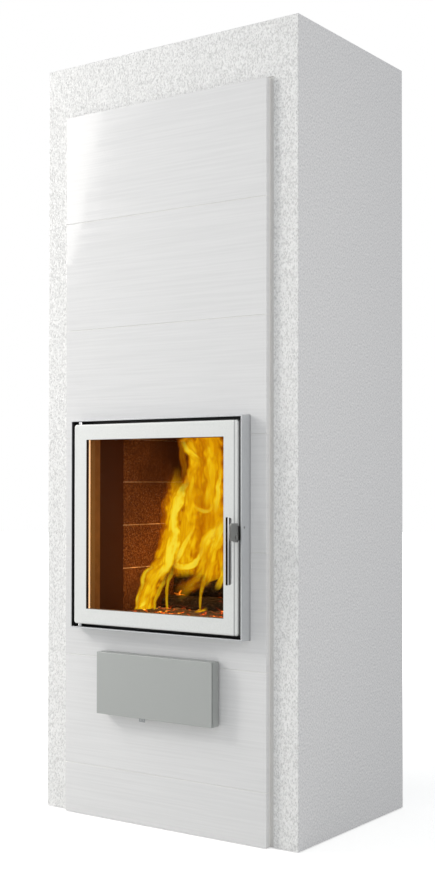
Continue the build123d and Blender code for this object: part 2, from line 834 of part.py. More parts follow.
def register_guides():
    """Two lipped strips that hold the air plate down on the casing's floor."""
    floor = cover_low + COVER_WALL
    lip_z = register_z + AIR_PLATE + AIR_LIFT
    run = both(guide_x)
    guides = []
    for side in (-1, 1):
        edge = register_y + side * (air_plate_y + AIR_LIFT)
        wall = tuple(sorted((edge, edge + side * GUIDE_WALL)))
        lip = tuple(sorted((edge - side * GUIDE_LIP, edge + side * GUIDE_WALL)))
        top = lip_z + GUIDE_WALL / 2
        guides.append(block(run, wall, (floor, top)) + block(run, lip, (lip_z, top)))
    return guides


def air_plate():
    """A slotted slide with a lever bent down through the casing's floor."""
    level = (register_z, register_z + AIR_PLATE)
    width = (register_y - air_plate_y, register_y + air_plate_y)
    plate = block(both(air_plate_x), width, level) - air_slots(*level)
    lever_x = (LEVER_X - LEVER_WIDTH / 2, LEVER_X + LEVER_WIDTH / 2)
    lever_z = (cover_low - LEVER_DROP, register_z + AIR_PLATE)
    plate += block(lever_x, (lever_y - AIR_PLATE, lever_y), lever_z)
    for side in (-1, 1):
        spot = Pos(LEVER_X + side * LEVER_WIDTH / 4, lever_z[0] + LEVER_WIDTH / 4)
        plate -= facing(spot * Circle(LEVER_HOLE_R), lever_y - AIR_PLATE, lever_y)
    return plate


def drawer_front():
    """The front plate with two channel brackets welded to its back."""
    plate = block(both(cover_x), (cover_front, cover_front + COVER_PLATE), cover_level())
    plate = round_front(plate, COVER_EDGE)
    middle = (pan_low + pan_top) / 2
    level = (middle - BRACKET_HEIGHT / 2, middle + BRACKET_HEIGHT / 2)
    for side in (-1, 1):
        centre = side * BRACKET_SPACING / 2
        run = (centre - BRACKET_WIDTH / 2, centre + BRACKET_WIDTH / 2)
        hollow = (run[0] + PAN_WALL, run[1] - PAN_WALL)
        bracket = block(run, (cover_front + COVER_PLATE, pan_front), level)
        web = cover_front + COVER_PLATE + PAN_WALL
        plate += bracket - block(hollow, (web, pan_front), level)
    return plate


def ash_pan():
    """A folded tray with an outward rim."""
    pan = block(both(pan_x), (pan_front, pan_back), (pan_low, pan_top))
    rim = (pan_top - PAN_WALL, pan_top)
    pan += block(both(pan_x + PAN_RIM), (pan_front, pan_back), rim)
    inside = (pan_front + PAN_WALL, pan_back - PAN_WALL)
    return pan - block(both(pan_x - PAN_WALL), inside, (pan_low + PAN_WALL, pan_top))


def sub_parts():
    """Every node's name with its solid or list of solids."""
    wall_z = (BASE_HEIGHT, case_top)
    side_y = (-inner_y, case_y)
    front_y = (-case_y, -inner_y)
    slab_in = core_x + CORE_GAP
    slab_out = inner_x - CORE_GAP
    nodes = {
        "base_slab": block(both(case_x), both(case_y), (0, BASE_HEIGHT)),
        "casing_left": block((-case_x, -inner_x), side_y, wall_z),
        "casing_right": block((inner_x, case_x), side_y, wall_z),
        "casing_back": casing_back(),
        "pilaster_left": block((-case_x, -core_x), front_y, wall_z),
        "pilaster_right": block((core_x, case_x), front_y, wall_z),
        "front_panel_lower": front_panel_lower(),
        "front_panel_upper": block(both(core_x), front_y, (throat_high, case_top)),
        "top_slab": block(both(case_x), both(case_y), (case_top, BODY_HEIGHT - COAT)),
        "plaster_coat": plaster_coat(),
        "tile_bed": tile_bed(),
    }
    for row in range(LOWER_ROWS + UPPER_ROWS + 1):
        nodes[f"tile_course_{row + 1}"] = tile_course(row)
    nodes |= {
        "core_plinth": block(both(core_x), both(inner_y), (BASE_HEIGHT, CHAMBER_Z)),
        "core_blocks": core_blocks(),
        "storage_slabs": [
            block((-slab_out, -slab_in), both(inner_y), wall_z),
            block((slab_in, slab_out), both(inner_y), wall_z),
        ],
        "hearth_base": hearth_base(),
        "hearth_slab": hearth_slab(),
        "grate": grate(),
        "sill_stone": sill_stone(),
        "jambs": jambs(),
        "firebox_lintel": block(both(core_x), (-inner_y, jamb_back), (throat_high, ceiling_z)),
        "firebrick_left": side_wall(-1),
        "firebrick_right": side_wall(1),
        "firebrick_back": back_wall(),
        "firebox_ceiling": firebox_ceiling(),
    }
    for index in range(RINGS):
        nodes[f"storage_ring_{index + 1}"] = storage_ring(index)
    divider = block(
        both(core_x - RING_WALL), both(DIVIDER / 2), (rings_z, cap_z - DIVIDER_DROP)
    )
    nodes |= {
        "smoke_divider": divider,
        "core_cap": block(both(core_x), both(inner_y), (cap_z, case_top)),
        "flue_collar": flue_collar(),
        "firewood": firewood(),
        "mounting_channel": mounting_channel(),
        "door_frame": door_frame(),
        "frame_screws": frame_screws(),
        "hinge_pins": hinge_pins(),
        "keeper_stud": keeper_stud(),
        "door_leaf": door_leaf(),
        "glass_pane": glass_pane(),
        "glass_seal": glass_seal(),
        "glass_retainer": glass_retainer(),
        "retainer_screws": retainer_screws(),
        "door_rope": door_rope(),
        "latch_bearing": latch_bearing(),
        "latch_pin": latch_pin(),
        "latch_plate": latch_plate(),
        "handle_bar": handle_bar(),
        "ash_chamber": ash_chamber(),
        "pan_runners": pan_runners(),
        "cover_casing": cover_casing(),
        "register_guides": register_guides(),
        "air_plate": air_plate(),
        "drawer_front": drawer_front(),
        "ash_pan": ash_pan(),
    }
    return nodes


os.makedirs("parts", exist_ok=True)
for name, shape in sub_parts().items():
    pieces = shape if isinstance(shape, list) else [shape]
    solid = pieces[0] if len(pieces) == 1 else Compound(children=pieces)
    export_step(solid, f"parts/{name}.step")
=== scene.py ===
import math
import random

import bmesh
import bpy
from mathutils import Matrix, Vector, noise


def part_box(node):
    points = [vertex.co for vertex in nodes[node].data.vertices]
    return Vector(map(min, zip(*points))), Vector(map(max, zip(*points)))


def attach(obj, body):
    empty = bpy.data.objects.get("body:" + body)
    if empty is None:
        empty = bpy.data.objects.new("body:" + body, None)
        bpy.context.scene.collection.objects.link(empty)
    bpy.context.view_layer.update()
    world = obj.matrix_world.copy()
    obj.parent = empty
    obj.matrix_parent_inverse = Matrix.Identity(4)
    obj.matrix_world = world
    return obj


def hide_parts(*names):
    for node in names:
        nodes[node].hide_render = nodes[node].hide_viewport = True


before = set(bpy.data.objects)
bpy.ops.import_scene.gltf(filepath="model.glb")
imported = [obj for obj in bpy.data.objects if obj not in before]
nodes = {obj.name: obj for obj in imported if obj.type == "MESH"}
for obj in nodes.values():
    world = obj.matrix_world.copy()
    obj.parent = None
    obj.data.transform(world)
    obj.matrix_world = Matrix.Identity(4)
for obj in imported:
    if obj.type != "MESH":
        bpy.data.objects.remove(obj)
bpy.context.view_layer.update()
scene = bpy.context.scene
print("frame loaded,", len(nodes), "nodes")

# levels and planes the new pieces are set against, in metres
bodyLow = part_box("plaster_coat")[0]
paneLow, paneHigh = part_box("glass_pane")
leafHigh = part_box("door_leaf")[1]
logLow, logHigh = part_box("firewood")
leafGap = 0.00725
rimX = leafHigh.x + leafGap
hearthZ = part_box("hearth_slab")[1].z
doorZ = (paneLow.z + paneHigh.z) / 2
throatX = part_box("sill_stone")[1].x
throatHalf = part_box("firebox_lintel")[0].z - doorZ
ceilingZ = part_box("firebox_ceiling")[0].z
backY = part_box("firebrick_back")[0].y
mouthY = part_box("sill_stone")[1].y

# most of a noise texture's values lie between these
noiseSpan = (0.3, 0.7)


def linear(hexCode):
    values = [int(hexCode[place : place + 2], 16) / 255 for place in (1, 3, 5)]
    return [v / 12.92 if v <= 0.04045 else ((v + 0.055) / 1.055) ** 2.4 for v in values] + [1.0]


def perMetre(millimetres):
    return 1000 / millimetres


def nodeAdder(tree):
    # clears the tree and gives the function that adds to it; inputs go by name, or in the order
    # of the sockets: a MapRange's are its value, from min, from max, to min and to max; a node
    # given as an input stands for its first output
    def add(kind, inputs=(), stops=(), **settings):
        node = tree.nodes.new("ShaderNode" + kind)
        for name, value in settings.items():
            setattr(node, name, value)
        for name, value in inputs.items() if isinstance(inputs, dict) else enumerate(inputs):
            if isinstance(value, bpy.types.Node):
                value = value.outputs[0]
            if isinstance(value, bpy.types.NodeSocket):
                tree.links.new(value, node.inputs[name])
            else:
                node.inputs[name].default_value = value
        if stops:
            ramp = node.color_ramp.elements
            ramp.remove(ramp[1])
            ramp[0].position = stops[0][0]
            ramp[0].color = linear(stops[0][1])
            for place, colour in stops[1:]:
                ramp.new(place).color = linear(colour)
        return node

    tree.nodes.clear()
    return add


def startMaterial(name):
    material = bpy.data.materials.new(name)
    material.use_nodes = True
    add = nodeAdder(material.node_tree)
    return material, add, add("TexCoord").outputs["Object"]


def dress(material, *names):
    for name in names:
        mesh = nodes[name].data
        mesh.materials.clear()
        mesh.materials.append(material)


def makeObject(bm, name, material, smooth=True):
    mesh = bpy.data.meshes.new(name)
    bm.to_mesh(mesh)
    bm.free()
    mesh.materials.append(material)
    for face in mesh.polygons:
        face.use_smooth = smooth
    made = bpy.data.objects.new(name, mesh)
    scene.collection.objects.link(made)
    return made


# Camera: fitted to the photograph's vanishing points and the body's corners

cameraLook = {
    "place": (1.9853, -2.8580, 0.8519),
    "azimuth": 35.109,
    "pitch": 0.895,
    "roll": 0.0575,
    "focalPixels": 1312.64,
    "photoHeight": 875,
    "sensor": 36.0,
    "shift": 0.02958,
}


def makeCamera(look):
    data = bpy.data.cameras.new("camera")
    data.sensor_width = look["sensor"]
    data.lens = look["focalPixels"] * look["sensor"] / look["photoHeight"]
    data.shift_y = look["shift"]
    camera = bpy.data.objects.new("camera", data)
    scene.collection.objects.link(camera)
    turn = Matrix.Rotation(math.radians(look["azimuth"]), 4, "Z")
    tilt = Matrix.Rotation(math.radians(90 + look["pitch"]), 4, "X")
    roll = Matrix.Rotation(math.radians(look["roll"]), 4, "Z")
    camera.matrix_world = Matrix.Translation(look["place"]) @ turn @ tilt @ roll
    scene.camera = camera


makeCamera(cameraLook)
print("camera set")


# Studio: plain world, pale floor, soft lamps from the left and a weak fill from the right

studioLook = {
    "grey": 0.60,
    "tint": "#F8FBFF",
    "floorColour": "#E4E4E2",
    "floorGlow": (0.5, 1.1),
    "floorFade": (0.9, 2.6),
    "floorSize": 40.0,
    "target": (0.0, -0.26, 1.0),
    "lampColour": "#FFFCF8",
    "lamps": {
        "softbox": {"azimuth": -64, "height": 31, "far": 3.0, "size": (2.0, 1.5), "power": 40},
        "keyLamp": {"azimuth": -58, "height": 19, "far": 3.2, "size": (0.5, 0.5), "power": 22},
        "lowFill": {"azimuth": -62, "height": -8, "far": 3.0, "size": (0.8, 0.8), "power": 11},
        "sideFill": {"azimuth": 74, "height": 12, "far": 2.4, "size": (1.2, 1.2), "power": 10.5},
    },
}


def placeRound(azimuth, height, far, target):
    across = math.radians(azimuth)
    up = math.radians(height)
    arm = Vector((math.sin(across) * math.cos(up), -math.cos(across) * math.cos(up), math.sin(up)))
    place = Vector(target) + far * arm
    turn = (-arm).to_track_quat("-Z", "Y").to_matrix().to_4x4()
    return Matrix.Translation(place) @ turn


def makeWorld(look):
    world = bpy.data.worlds.new("studio")
    world.use_nodes = True
    add = nodeAdder(world.node_tree)
    # seen straight, in mirrors and through glass it is white; its light on the stove is greyer
    rays = add("LightPath").outputs
    seen = rays["Is Camera Ray"]
    for ray in ("Is Glossy Ray", "Is Transmission Ray"):
        seen = add("Math", (seen, rays[ray]), operation="MAXIMUM")
    plain = add("Background", {"Color": linear(look["tint"]), "Strength": look["grey"]})
    white = add("Background", {"Color": (1, 1, 1, 1), "Strength": 1.0})
    mixed = add("MixShader", (seen, plain, white))
    add("OutputWorld", {"Surface": mixed})
    scene.world = world


def makeFloor(look):
    # matt paper: the camera sees it lifted to white away from the stove, and shadows stay
    material, add, coords = startMaterial("paperFloor")
    rays = add("LightPath").outputs
    away = add("VectorMath", (coords,), operation="LENGTH").outputs["Value"]
    glow = add("MapRange", (away, *look["floorFade"], *look["floorGlow"]))
    lift = add("Math", (rays["Is Camera Ray"], glow), operation="MULTIPLY")
    paper = add("BsdfPrincipled", {
        "Base Color": linear(look["floorColour"]),
        "Roughness": 0.9,
        "Specular IOR Level": 0.0,
        "Emission Color": (1, 1, 1, 1),
        "Emission Strength": lift,
    })
    add("OutputMaterial", {"Surface": paper})
    bm = bmesh.new()
    bmesh.ops.create_circle(bm, cap_ends=True, segments=64, radius=look["floorSize"] / 2)
    floor = makeObject(bm, "floor", material, smooth=False)


def makeLamps(look):
    # the handle's mirror shows the room and not the lamps
    unlit = bpy.data.collections.new("unlit")
    unlit.objects.link(nodes["handle_bar"])
    unlit.collection_objects[0].light_linking.link_state = "EXCLUDE"
    for name, lamp in look["lamps"].items():
        data = bpy.data.lights.new(name, "AREA")
        data.shape = "RECTANGLE"
        data.size, data.size_y = lamp["size"]
        data.energy = lamp["power"]
        data.color = linear(look["lampColour"])[:3]
        holder = bpy.data.objects.new(name, data)
        scene.collection.objects.link(holder)
        holder.matrix_world = placeRound(
            lamp["azimuth"], lamp["height"], lamp["far"], look["target"]
        )
        holder.light_linking.receiver_collection = unlit


# Dark backdrops that only the handle's mirror sees: patches of a sphere round the bar's middle,
# in metres and degrees. Along and across are how far its surface lies from that middle, behind
# and before it on a ray's way and beside it
backdropLook = {
    "cards": {
        "backdropLeft": {"from": -144, "to": -4, "tone": "#16120F"},
        "backdropRight": {"from": 44, "to": 122, "tone": "#4A4846"},
    },
    "far": 2.6,
    "low": -14,
    "high": 36,
    "step": 2,
    "along": (0.016, 0.005),
    "across": 0.085,
}


def makeBackdrops(look):
    barLow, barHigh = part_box("handle_bar")
    middle = (barLow + barHigh) / 2
    far = look["far"]
    behind, ahead = look["along"]
    slant = 1 - math.sqrt(1 - (look["across"] / far) ** 2)
    lengths = (far + (ahead - behind) / 2, (ahead + behind) / 2)
    for name, backdrop in look["cards"].items():
        # a ray from the handle is as long as the sphere's radius and meets it squarely; the
        # rest pass through
        material, add, _ = startMaterial(name)
        ray = add("LightPath").outputs["Ray Length"]
        isLong = add("Math", (ray, *lengths), operation="COMPARE")
        facing = add("LayerWeight", {"Blend": 0.5}).outputs["Facing"]
        isSquare = add("Math", (facing, slant), operation="LESS_THAN")
        isOwn = add("Math", (isLong, isSquare), operation="MULTIPLY")
        clear = add("BsdfTransparent")
        tone = add("Emission", {"Color": linear(backdrop["tone"])})
        add("OutputMaterial", {"Surface": add("MixShader", (isOwn, clear, tone))})
        bm = bmesh.new()
        bmesh.ops.create_uvsphere(
            bm, u_segments=360 // look["step"], v_segments=180 // look["step"], radius=far
        )
        outside = []
        for face in bm.faces:
            centre = face.calc_center_median()
            angle = math.degrees(math.atan2(centre.x, -centre.y))
            rise = math.degrees(math.asin(centre.z / centre.length))
            isIn = backdrop["from"] < angle < backdrop["to"]
            if not isIn or not look["low"] < rise < look["high"]:
                outside.append(face)
        bmesh.ops.delete(bm, geom=outside, context="FACES")
        bmesh.ops.translate(bm, vec=middle, verts=bm.verts)
        card = makeObject(bm, name, material)
        card.visible_camera = False
        card.visible_diffuse = False
        card.visible_transmission = False
        card.visible_shadow = False


makeWorld(studioLook)
makeFloor(studioLook)
makeLamps(studioLook)
makeBackdrops(backdropLook)
scene.view_settings.view_transform = "Standard"
print("studio set")


# Masonry finishes; the sizes of patterns are in millimetres, and depths in metres

renderLook = {
    # the darker ends of these colour ramps are painted shade in the grain's pits
    "colours": [(0.37, "#D6D6D5"), (0.50, "#F0F0EF"), (0.63, "#FCFCFB")],
    "sidePitShadedColours": [(0.36, "#CFCFD0"), (0.64, "#F0EFEF")],
    "lump": 7.0,
    "lumpShare": 0.8,
    "grain": 3.0,
    "depth": 0.0025,
    "sideShare": 0.5,
    "frontPlane": bodyLow.y + 0.0015,
}


def mineralRenderPitShaded(look):
    # lime render, thrown on at the front and rubbed down at the sides: chalky, rough, white; its
    # grain is drawn coarse enough to show, with painted shade in its pits; the sides are coloured
    # a little darker than the front
    material, add, coords = startMaterial("mineralRenderPitShaded")
    upright = add("Mapping", {"Vector": coords, "Scale": (1.0, 1.0, 0.6)})
    lumps = add("TexNoise", {
        "Vector": upright, "Scale": perMetre(look["lump"]), "Detail": 3.0, "Roughness": 0.55,
    })
    grains = add("TexNoise", {
        "Vector": upright, "Scale": perMetre(look["grain"]), "Detail": 2.0, "Roughness": 0.7,
    })
    y = add("SeparateXYZ", (coords,)).outputs["Y"]
    front = add("Math", (y, look["frontPlane"]), operation="LESS_THAN")
    rough = add("MapRange", (front, 0.0, 1.0, look["sideShare"], 1.0))
    relief = add("Math", (lumps, look["lumpShare"], grains), operation="MULTIPLY_ADD")
    relief = add("Math", (relief, rough), operation="MULTIPLY")
    bump = add("Bump", {"Height": relief, "Distance": look["depth"]})
    # painted shade: the grain's low values, its pits, are coloured darker
    thrown = add("ValToRGB", (grains,), look["colours"])
    rubbed = add("ValToRGB", (grains,), look["sidePitShadedColours"])
    shader = add("BsdfPrincipled", {
        "Base Color": add("MixRGB", (front, rubbed, thrown)),
        "Roughness": 0.88,
        "IOR": 1.5,
        "Specular IOR Level": 0.3,
        "Normal": bump,
    })
    add("OutputMaterial", {"Surface": shader})
    return material


tileLook = {
    "colours": [(0.35, "#DFDFDF"), (0.65, "#E4E4E4")],
    "stripe": 5.0,
    "stripeLength": 220.0,
    "stripeDepth": 0.00002,
    "wave": 120.0,
    "waveDepth": 0.0005,
    "roughness": (0.02, 0.16),
}


def glazedTile(look):
    # white glaze over a pressed body: glossy, with fine level brush lines and slow waves
    material, add, coords = startMaterial("whiteGlaze")
    level = perMetre(look["stripeLength"])
    drawn = add("Mapping", {"Vector": coords, "Scale": (level, level, perMetre(look["stripe"]))})
    stripes = add("TexNoise", {"Vector": drawn, "Scale": 1.0, "Detail": 3.0})
    waves = add("TexNoise", {"Vector": coords, "Scale": perMetre(look["wave"]), "Detail": 1.0})
    bump = add("Bump", {"Height": waves, "Distance": look["waveDepth"]})
    bump = add("Bump", {"Height": stripes, "Distance": look["stripeDepth"], "Normal": bump})
    shader = add("BsdfPrincipled", {
        "Base Color": add("ValToRGB", (stripes,), look["colours"]),
        "Roughness": add("MapRange", (stripes, *noiseSpan, *look["roughness"])),
        "IOR": 1.52,
        "Normal": bump,
    })
    add("OutputMaterial", {"Surface": shader})
    return material


brickLook = {
    "colours": [(0.38, "#371F10"), (0.50, "#5C3C25"), (0.62, "#82603F")],
    "grain": 5.0,
    "speck": 7.0,
    "speckRange": (0.20, 0.12, 0.0, 0.22),
    "course": (ceilingZ - hearthZ) / 5,
    "joint": 0.0014,
    "jointCore": 0.55,
    "jointCover": 0.95,
    "jointColour": "#F0E6DC",
    "patchRange": (0.36, 0.56, 0.35),
    "cloud": 140,
    "sootColour": "#240D05",
    "sootHeights": (hearthZ + 0.15, ceilingZ - 0.05),
    "sootRange": (0.43, 1.10, 0.0, 0.92),
}


def firebrick(look):
    # pressed chamotte: porous and speckled, joined with pale mortar, sooted towards the back
    material, add, coords = startMaterial("chamotteBrick")
    place = add("SeparateXYZ", (coords,)).outputs
    grain = add("TexNoise", {
        "Vector": coords, "Scale": perMetre(look["grain"]), "Detail": 4.0, "Roughness": 0.7,
    })
    body = add("ValToRGB", (grain,), look["colours"])
    specks = add("TexVoronoi", {"Vector": coords, "Scale": perMetre(look["speck"])})
    bright = add("MapRange", (specks, *look["speckRange"]))
    speckled = add("MixRGB", (bright, body, linear(look["jointColour"])))
    # courses start at the hearth; away is how far a point lies from the nearest joint
    half = look["course"] / 2
    level = add("Math", (place["Z"], hearthZ), operation="SUBTRACT")
    up = add("Math", (level, half), operation="ADD")
    offset = add("Math", (up, look["course"], 0.0), operation="FLOORED_MODULO")
    away = add("Math", (offset, half), operation="SUBTRACT")
    away = add("Math", (away,), operation="ABSOLUTE")
    joint = look["joint"]
    mortar = add("MapRange", (away, joint, joint * look["jointCore"], 0.0, look["jointCover"]))
    patchy = add("MapRange", (grain, *look["patchRange"]))
    mortar = add("Math", (mortar, patchy), operation="MULTIPLY")
    joined = add("MixRGB", (mortar, speckled, linear(look["jointColour"])))
    # soot grows with height and depth
    cloud = add("TexNoise", {"Vector": coords, "Scale": perMetre(look["cloud"]), "Detail": 3.0})
    rise = add("MapRange", (place["Z"], *look["sootHeights"]))
    depth = add("MapRange", (place["Y"], mouthY, backY))
    soot = add("Math", (rise, depth), operation="MULTIPLY")
    soot = add("Math", (soot, cloud), operation="ADD")
    soot = add("MapRange", (soot, *look["sootRange"]))
    relief = add("Math", (grain, mortar), operation="SUBTRACT")
    shader = add("BsdfPrincipled", {
        "Base Color": add("MixRGB", (soot, joined, linear(look["sootColour"]))),
        "Roughness": 0.92,
        "Normal": add("Bump", {"Height": relief, "Distance": 0.0008, "Strength": 0.8}),
    })
    add("OutputMaterial", {"Surface": shader})
    return material


# Finishes of one body colour broken by its grain, each with the nodes that wear it
plainFinishes = {
    # cast with fine aggregate, struck off a steel mould: pale, dusty, small pores
    "precastConcrete": {
        "colours": [(0.3, "#A8A7A2"), (0.6, "#BDBCB7"), (0.8, "#C9C8C4")],
        "grain": 9.0, "depth": 0.0004, "roughness": (0.8, 0.95), "metallic": 0.0,
        "on": (
            "base_slab", "casing_left", "casing_right", "casing_back", "pilaster_left",
            "pilaster_right", "front_panel_lower", "front_panel_upper", "top_slab",
            "core_plinth", "core_blocks",
        ),
    },
    # floated cement joint between glazed tiles
    "tileGrout": {
        "colours": [(0.3, "#D8D7D4"), (0.7, "#E8E7E5")],
        "grain": 1.6, "depth": 0.0002, "roughness": (0.85, 0.95), "metallic": 0.0,
        "on": ("tile_bed",),
    },
    # dense fireclay slab, pressed and fired: warm, finely pitted
    "fireclaySlab": {
        "colours": [(0.3, "#4D301B"), (0.55, "#623F26"), (0.8, "#735033")],
        "grain": 6.0, "depth": 0.0005, "roughness": (0.85, 0.96), "metallic": 0.0,
        "on": (
            "storage_slabs", "hearth_base", "hearth_slab", "storage_ring_1", "storage_ring_2",
            "storage_ring_3", "smoke_divider", "core_cap", "firewood",
        ),
    },
    # the same slab where smoke and flames pass it
    "sootyFireclay": {
        "colours": [(0.3, "#281106"), (0.55, "#381A0A"), (0.8, "#452311")],
        "grain": 6.0, "depth": 0.0005, "roughness": (0.85, 0.96), "metallic": 0.0,
        "on": ("sill_stone", "jambs", "firebox_lintel", "firebox_ceiling"),
    },
    # sand-cast grey iron, blued by heat
    "castIron": {
        "colours": [(0.3, "#1C1B1B"), (0.6, "#2C2A29"), (0.8, "#3B3735")],
        "grain": 2.2, "depth": 0.0003, "roughness": (0.5, 0.75), "metallic": 0.85,
        "on": ("grate",),
    },
    # rolled sheet, hot-dip galvanised: cool grey with faint spangle
    "galvanisedSheet": {
        "colours": [(0.3, "#8E9193"), (0.55, "#A3A6A8"), (0.8, "#B6B9BB")],
        "grain": 14.0, "depth": 0.00004, "roughness": (0.32, 0.5), "metallic": 1.0,
        "on": (
            "flue_collar", "ash_chamber", "pan_runners", "register_guides", "ash_pan",
            "air_plate",
        ),
    },
    # cold-rolled sheet dulled by the fire
    "heatTintedSteel": {
        "colours": [(0.3, "#745B3E"), (0.55, "#85694A"), (0.8, "#957656")],
        "grain": 30.0, "depth": 0.00005, "roughness": (0.5, 0.62), "metallic": 0.35,
        "on": ("mounting_channel", "glass_retainer", "retainer_screws"),
    },
    # stamped and zinc-plated steel: grey, softly bright
    "zincPlatedSteel": {
        "colours": [(0.3, "#8B8B89"), (0.6, "#A5A5A3"), (0.8, "#B9B9B7")],
        "grain": 1.1, "depth": 0.00003, "roughness": (0.3, 0.45), "metallic": 1.0,
        "on": ("latch_plate", "latch_bearing", "latch_pin", "keeper_stud", "frame_screws"),
    },
}


def grainyFinish(name, look):
    material, add, coords = startMaterial(name)
    grain = add("TexNoise", {
        "Vector": coords, "Scale": perMetre(look["grain"]), "Detail": 5.0, "Roughness": 0.6,
    })
    bump = add("Bump", {"Height": grain, "Distance": look["depth"]})
    shader = add("BsdfPrincipled", {
        "Base Color": add("ValToRGB", (grain,), look["colours"]),
        "Metallic": look["metallic"],
        "Roughness": add("MapRange", (grain, *noiseSpan, *look["roughness"])),
        "Normal": bump,
    })
    add("OutputMaterial", {"Surface": shader})
    return material


# Painted pieces. A zone is painted light or shade over the paint: it has its middle and half width
# across the door, its half height round the door's middle, its own colour and how metallic it is
shadeLineInset, shadeLineHalf, anyHeight = 0.0099, 0.0022, 1.0
paneLap = 0.0107
zoneMargin = 0.0005
flakeSize, peelSize = 1.8, 6.0
paintLook = {
    "silverLeafPaintAndShade": {
        "colours": [(0.35, "#D9DBD9"), (0.65, "#E1E3E1")],
        "metallic": 0.12, "roughness": (0.4, 0.5),
        "paintedLightZones": [
            # painted shade: a grey line down the leaf's rounded right edge
            (leafHigh.x - shadeLineInset, shadeLineHalf, anyHeight, "#A9ABAB", 0.3),
            # painted shade: the reveal round the pane, in front of the glass, coloured near black
            (0.0, paneHigh.x - paneLap, paneHigh.z - doorZ - paneLap, "#100D0B", 0.1),
        ],
        "on": ("door_leaf",),
    },
    "silverFramePaintShadeAndFirelight": {
        "colours": [(0.35, "#BDBFC1"), (0.65, "#C7C9CB")],
        "metallic": 0.3, "roughness": (0.36, 0.46),
        "paintedLightZones": [
            # painted shade: the gap round the leaf, dark on the frame's inner faces
            (0.0, rimX + zoneMargin, rimX + zoneMargin, "#2A2B2B", 0.1),
            # painted firelight: the throat's inner faces coloured tan, as the fire lights the
            # silver paint
            (0.0, throatX + zoneMargin, throatHalf - zoneMargin, "#847054", 0.1),
        ],
        "on": ("door_frame",),
    },
    "greyCoverPaint": {
        "colours": [(0.35, "#A4A7A5"), (0.65, "#AEB1AF")],
        "metallic": 0.35, "roughness": (0.38, 0.5),
        "paintedLightZones": [],
        "on": ("cover_casing", "drawer_front"),
    },
}


def heatPaint(name, look):
    # heat-proof silver paint, sprayed: satin, fine flake and a trace of orange peel, with painted
    # shade and painted firelight in its zones
    material, add, coords = startMaterial(name)
    flake = add("TexNoise", {"Vector": coords, "Scale": perMetre(flakeSize), "Detail": 2.0})
    peel = add("TexNoise", {"Vector": coords, "Scale": perMetre(peelSize), "Detail": 1.0})
    base = add("ValToRGB", (flake,), look["colours"])
    metal = look["metallic"]
    place = add("SeparateXYZ", (coords,)).outputs
    level = add("Math", (place["Z"], doorZ), operation="SUBTRACT")
    for middle, halfWidth, halfHeight, shade, share in look["paintedLightZones"]:
        across = add("Math", (place["X"], middle, halfWidth), operation="COMPARE")
        within = add("Math", (level, 0.0, halfHeight), operation="COMPARE")
        within = add("Math", (across, within), operation="MULTIPLY")
        base = add("MixRGB", (within, base, linear(shade)))
        metal = add("Mix", {"Factor": within, "A": metal, "B": share})
    shader = add("BsdfPrincipled", {
        "Base Color": base,
        "Metallic": metal,
        "Roughness": add("MapRange", (flake, *noiseSpan, *look["roughness"])),
        "Normal": add("Bump", {"Height": peel, "Distance": 0.00008}),
    })
    add("OutputMaterial", {"Surface": shader})
    return material


chromeLook = {"line": 0.6, "lineLength": 60, "roughness": (0.05, 0.12)}


def polishedChrome(look):
    # chromed round bar: mirror bright, faint lengthwise polishing lines
    material, add, coords = startMaterial("polishedChrome")
    fine = perMetre(look["line"])
    drawn = add("Mapping", {"Vector": coords, "Scale": (fine, fine, perMetre(look["lineLength"]))})
    lines = add("TexNoise", {"Vector": drawn, "Scale": 1.0, "Detail": 2.0})
    gloss = add("MapRange", (lines, 0.0, 1.0, *look["roughness"]))
    shader = add("BsdfPrincipled", {
        "Base Color": linear("#E8E9EA"), "Metallic": 1.0, "Roughness": gloss,
    })
    add("OutputMaterial", {"Surface": shader})
    return material


glassLook = {"haze": 90, "roughness": (0.02, 0.05), "clear": "#FFF8EC", "mirror": "#585858"}


def ceramicGlass(look):
    # glass-ceramic pane, 4 mm: clear, faintly warm, a thin film of haze
    material, add, coords = startMaterial("ceramicGlass")
    haze = add("TexNoise", {"Vector": coords, "Scale": perMetre(look["haze"]), "Detail": 2.0})
    gloss = add("MapRange", (haze, 0.0, 1.0, *look["roughness"]))
    clear = add("BsdfTransparent", {"Color": linear(look["clear"])})
    mirror = add("BsdfGlossy", {"Color": linear(look["mirror"]), "Roughness": gloss})
    fresnel = add("Fresnel", {"IOR": 1.25})
    # light leaves through the far face unhindered, at flat angles too
    isFar = add("NewGeometry").outputs["Backfacing"]
    isNear = add("Math", (1.0, isFar), operation="SUBTRACT")
    sheen = add("Math", (fresnel, isNear), operation="MULTIPLY")
    add("OutputMaterial", {"Surface": add("MixShader", (sheen, clear, mirror))})
    return material


dress(mineralRenderPitShaded(renderLook), "plaster_coat")
dress(glazedTile(tileLook), *[name for name in nodes if name.startswith("tile_course")])
dress(firebrick(brickLook), "firebrick_left", "firebrick_right", "firebrick_back")
for finish, look in plainFinishes.items():
    dress(grainyFinish(finish, look), *look["on"])
for finish, look in paintLook.items():
    dress(heatPaint(finish, look), *look["on"])
dress(polishedChrome(chromeLook), "handle_bar", "hinge_pins")
dress(ceramicGlass(glassLook), "glass_pane")
print("finishes on the frame's nodes")


# Fire: warm lamps, ash bed, charred logs, embers and flames

fireLamps = [
    {"place": (-0.02, -0.03, 0.72), "radius": 0.09, "power": 1.87, "colour": "#FFB25A"},
    {"place": (0.02, -0.02, 0.92), "radius": 0.08, "power": 0.88, "colour": "#FFAC52"},
    {"place": (-0.10, -0.12, 0.60), "radius": 0.05, "power": 0.31, "colour": "#FFAC52"},
]


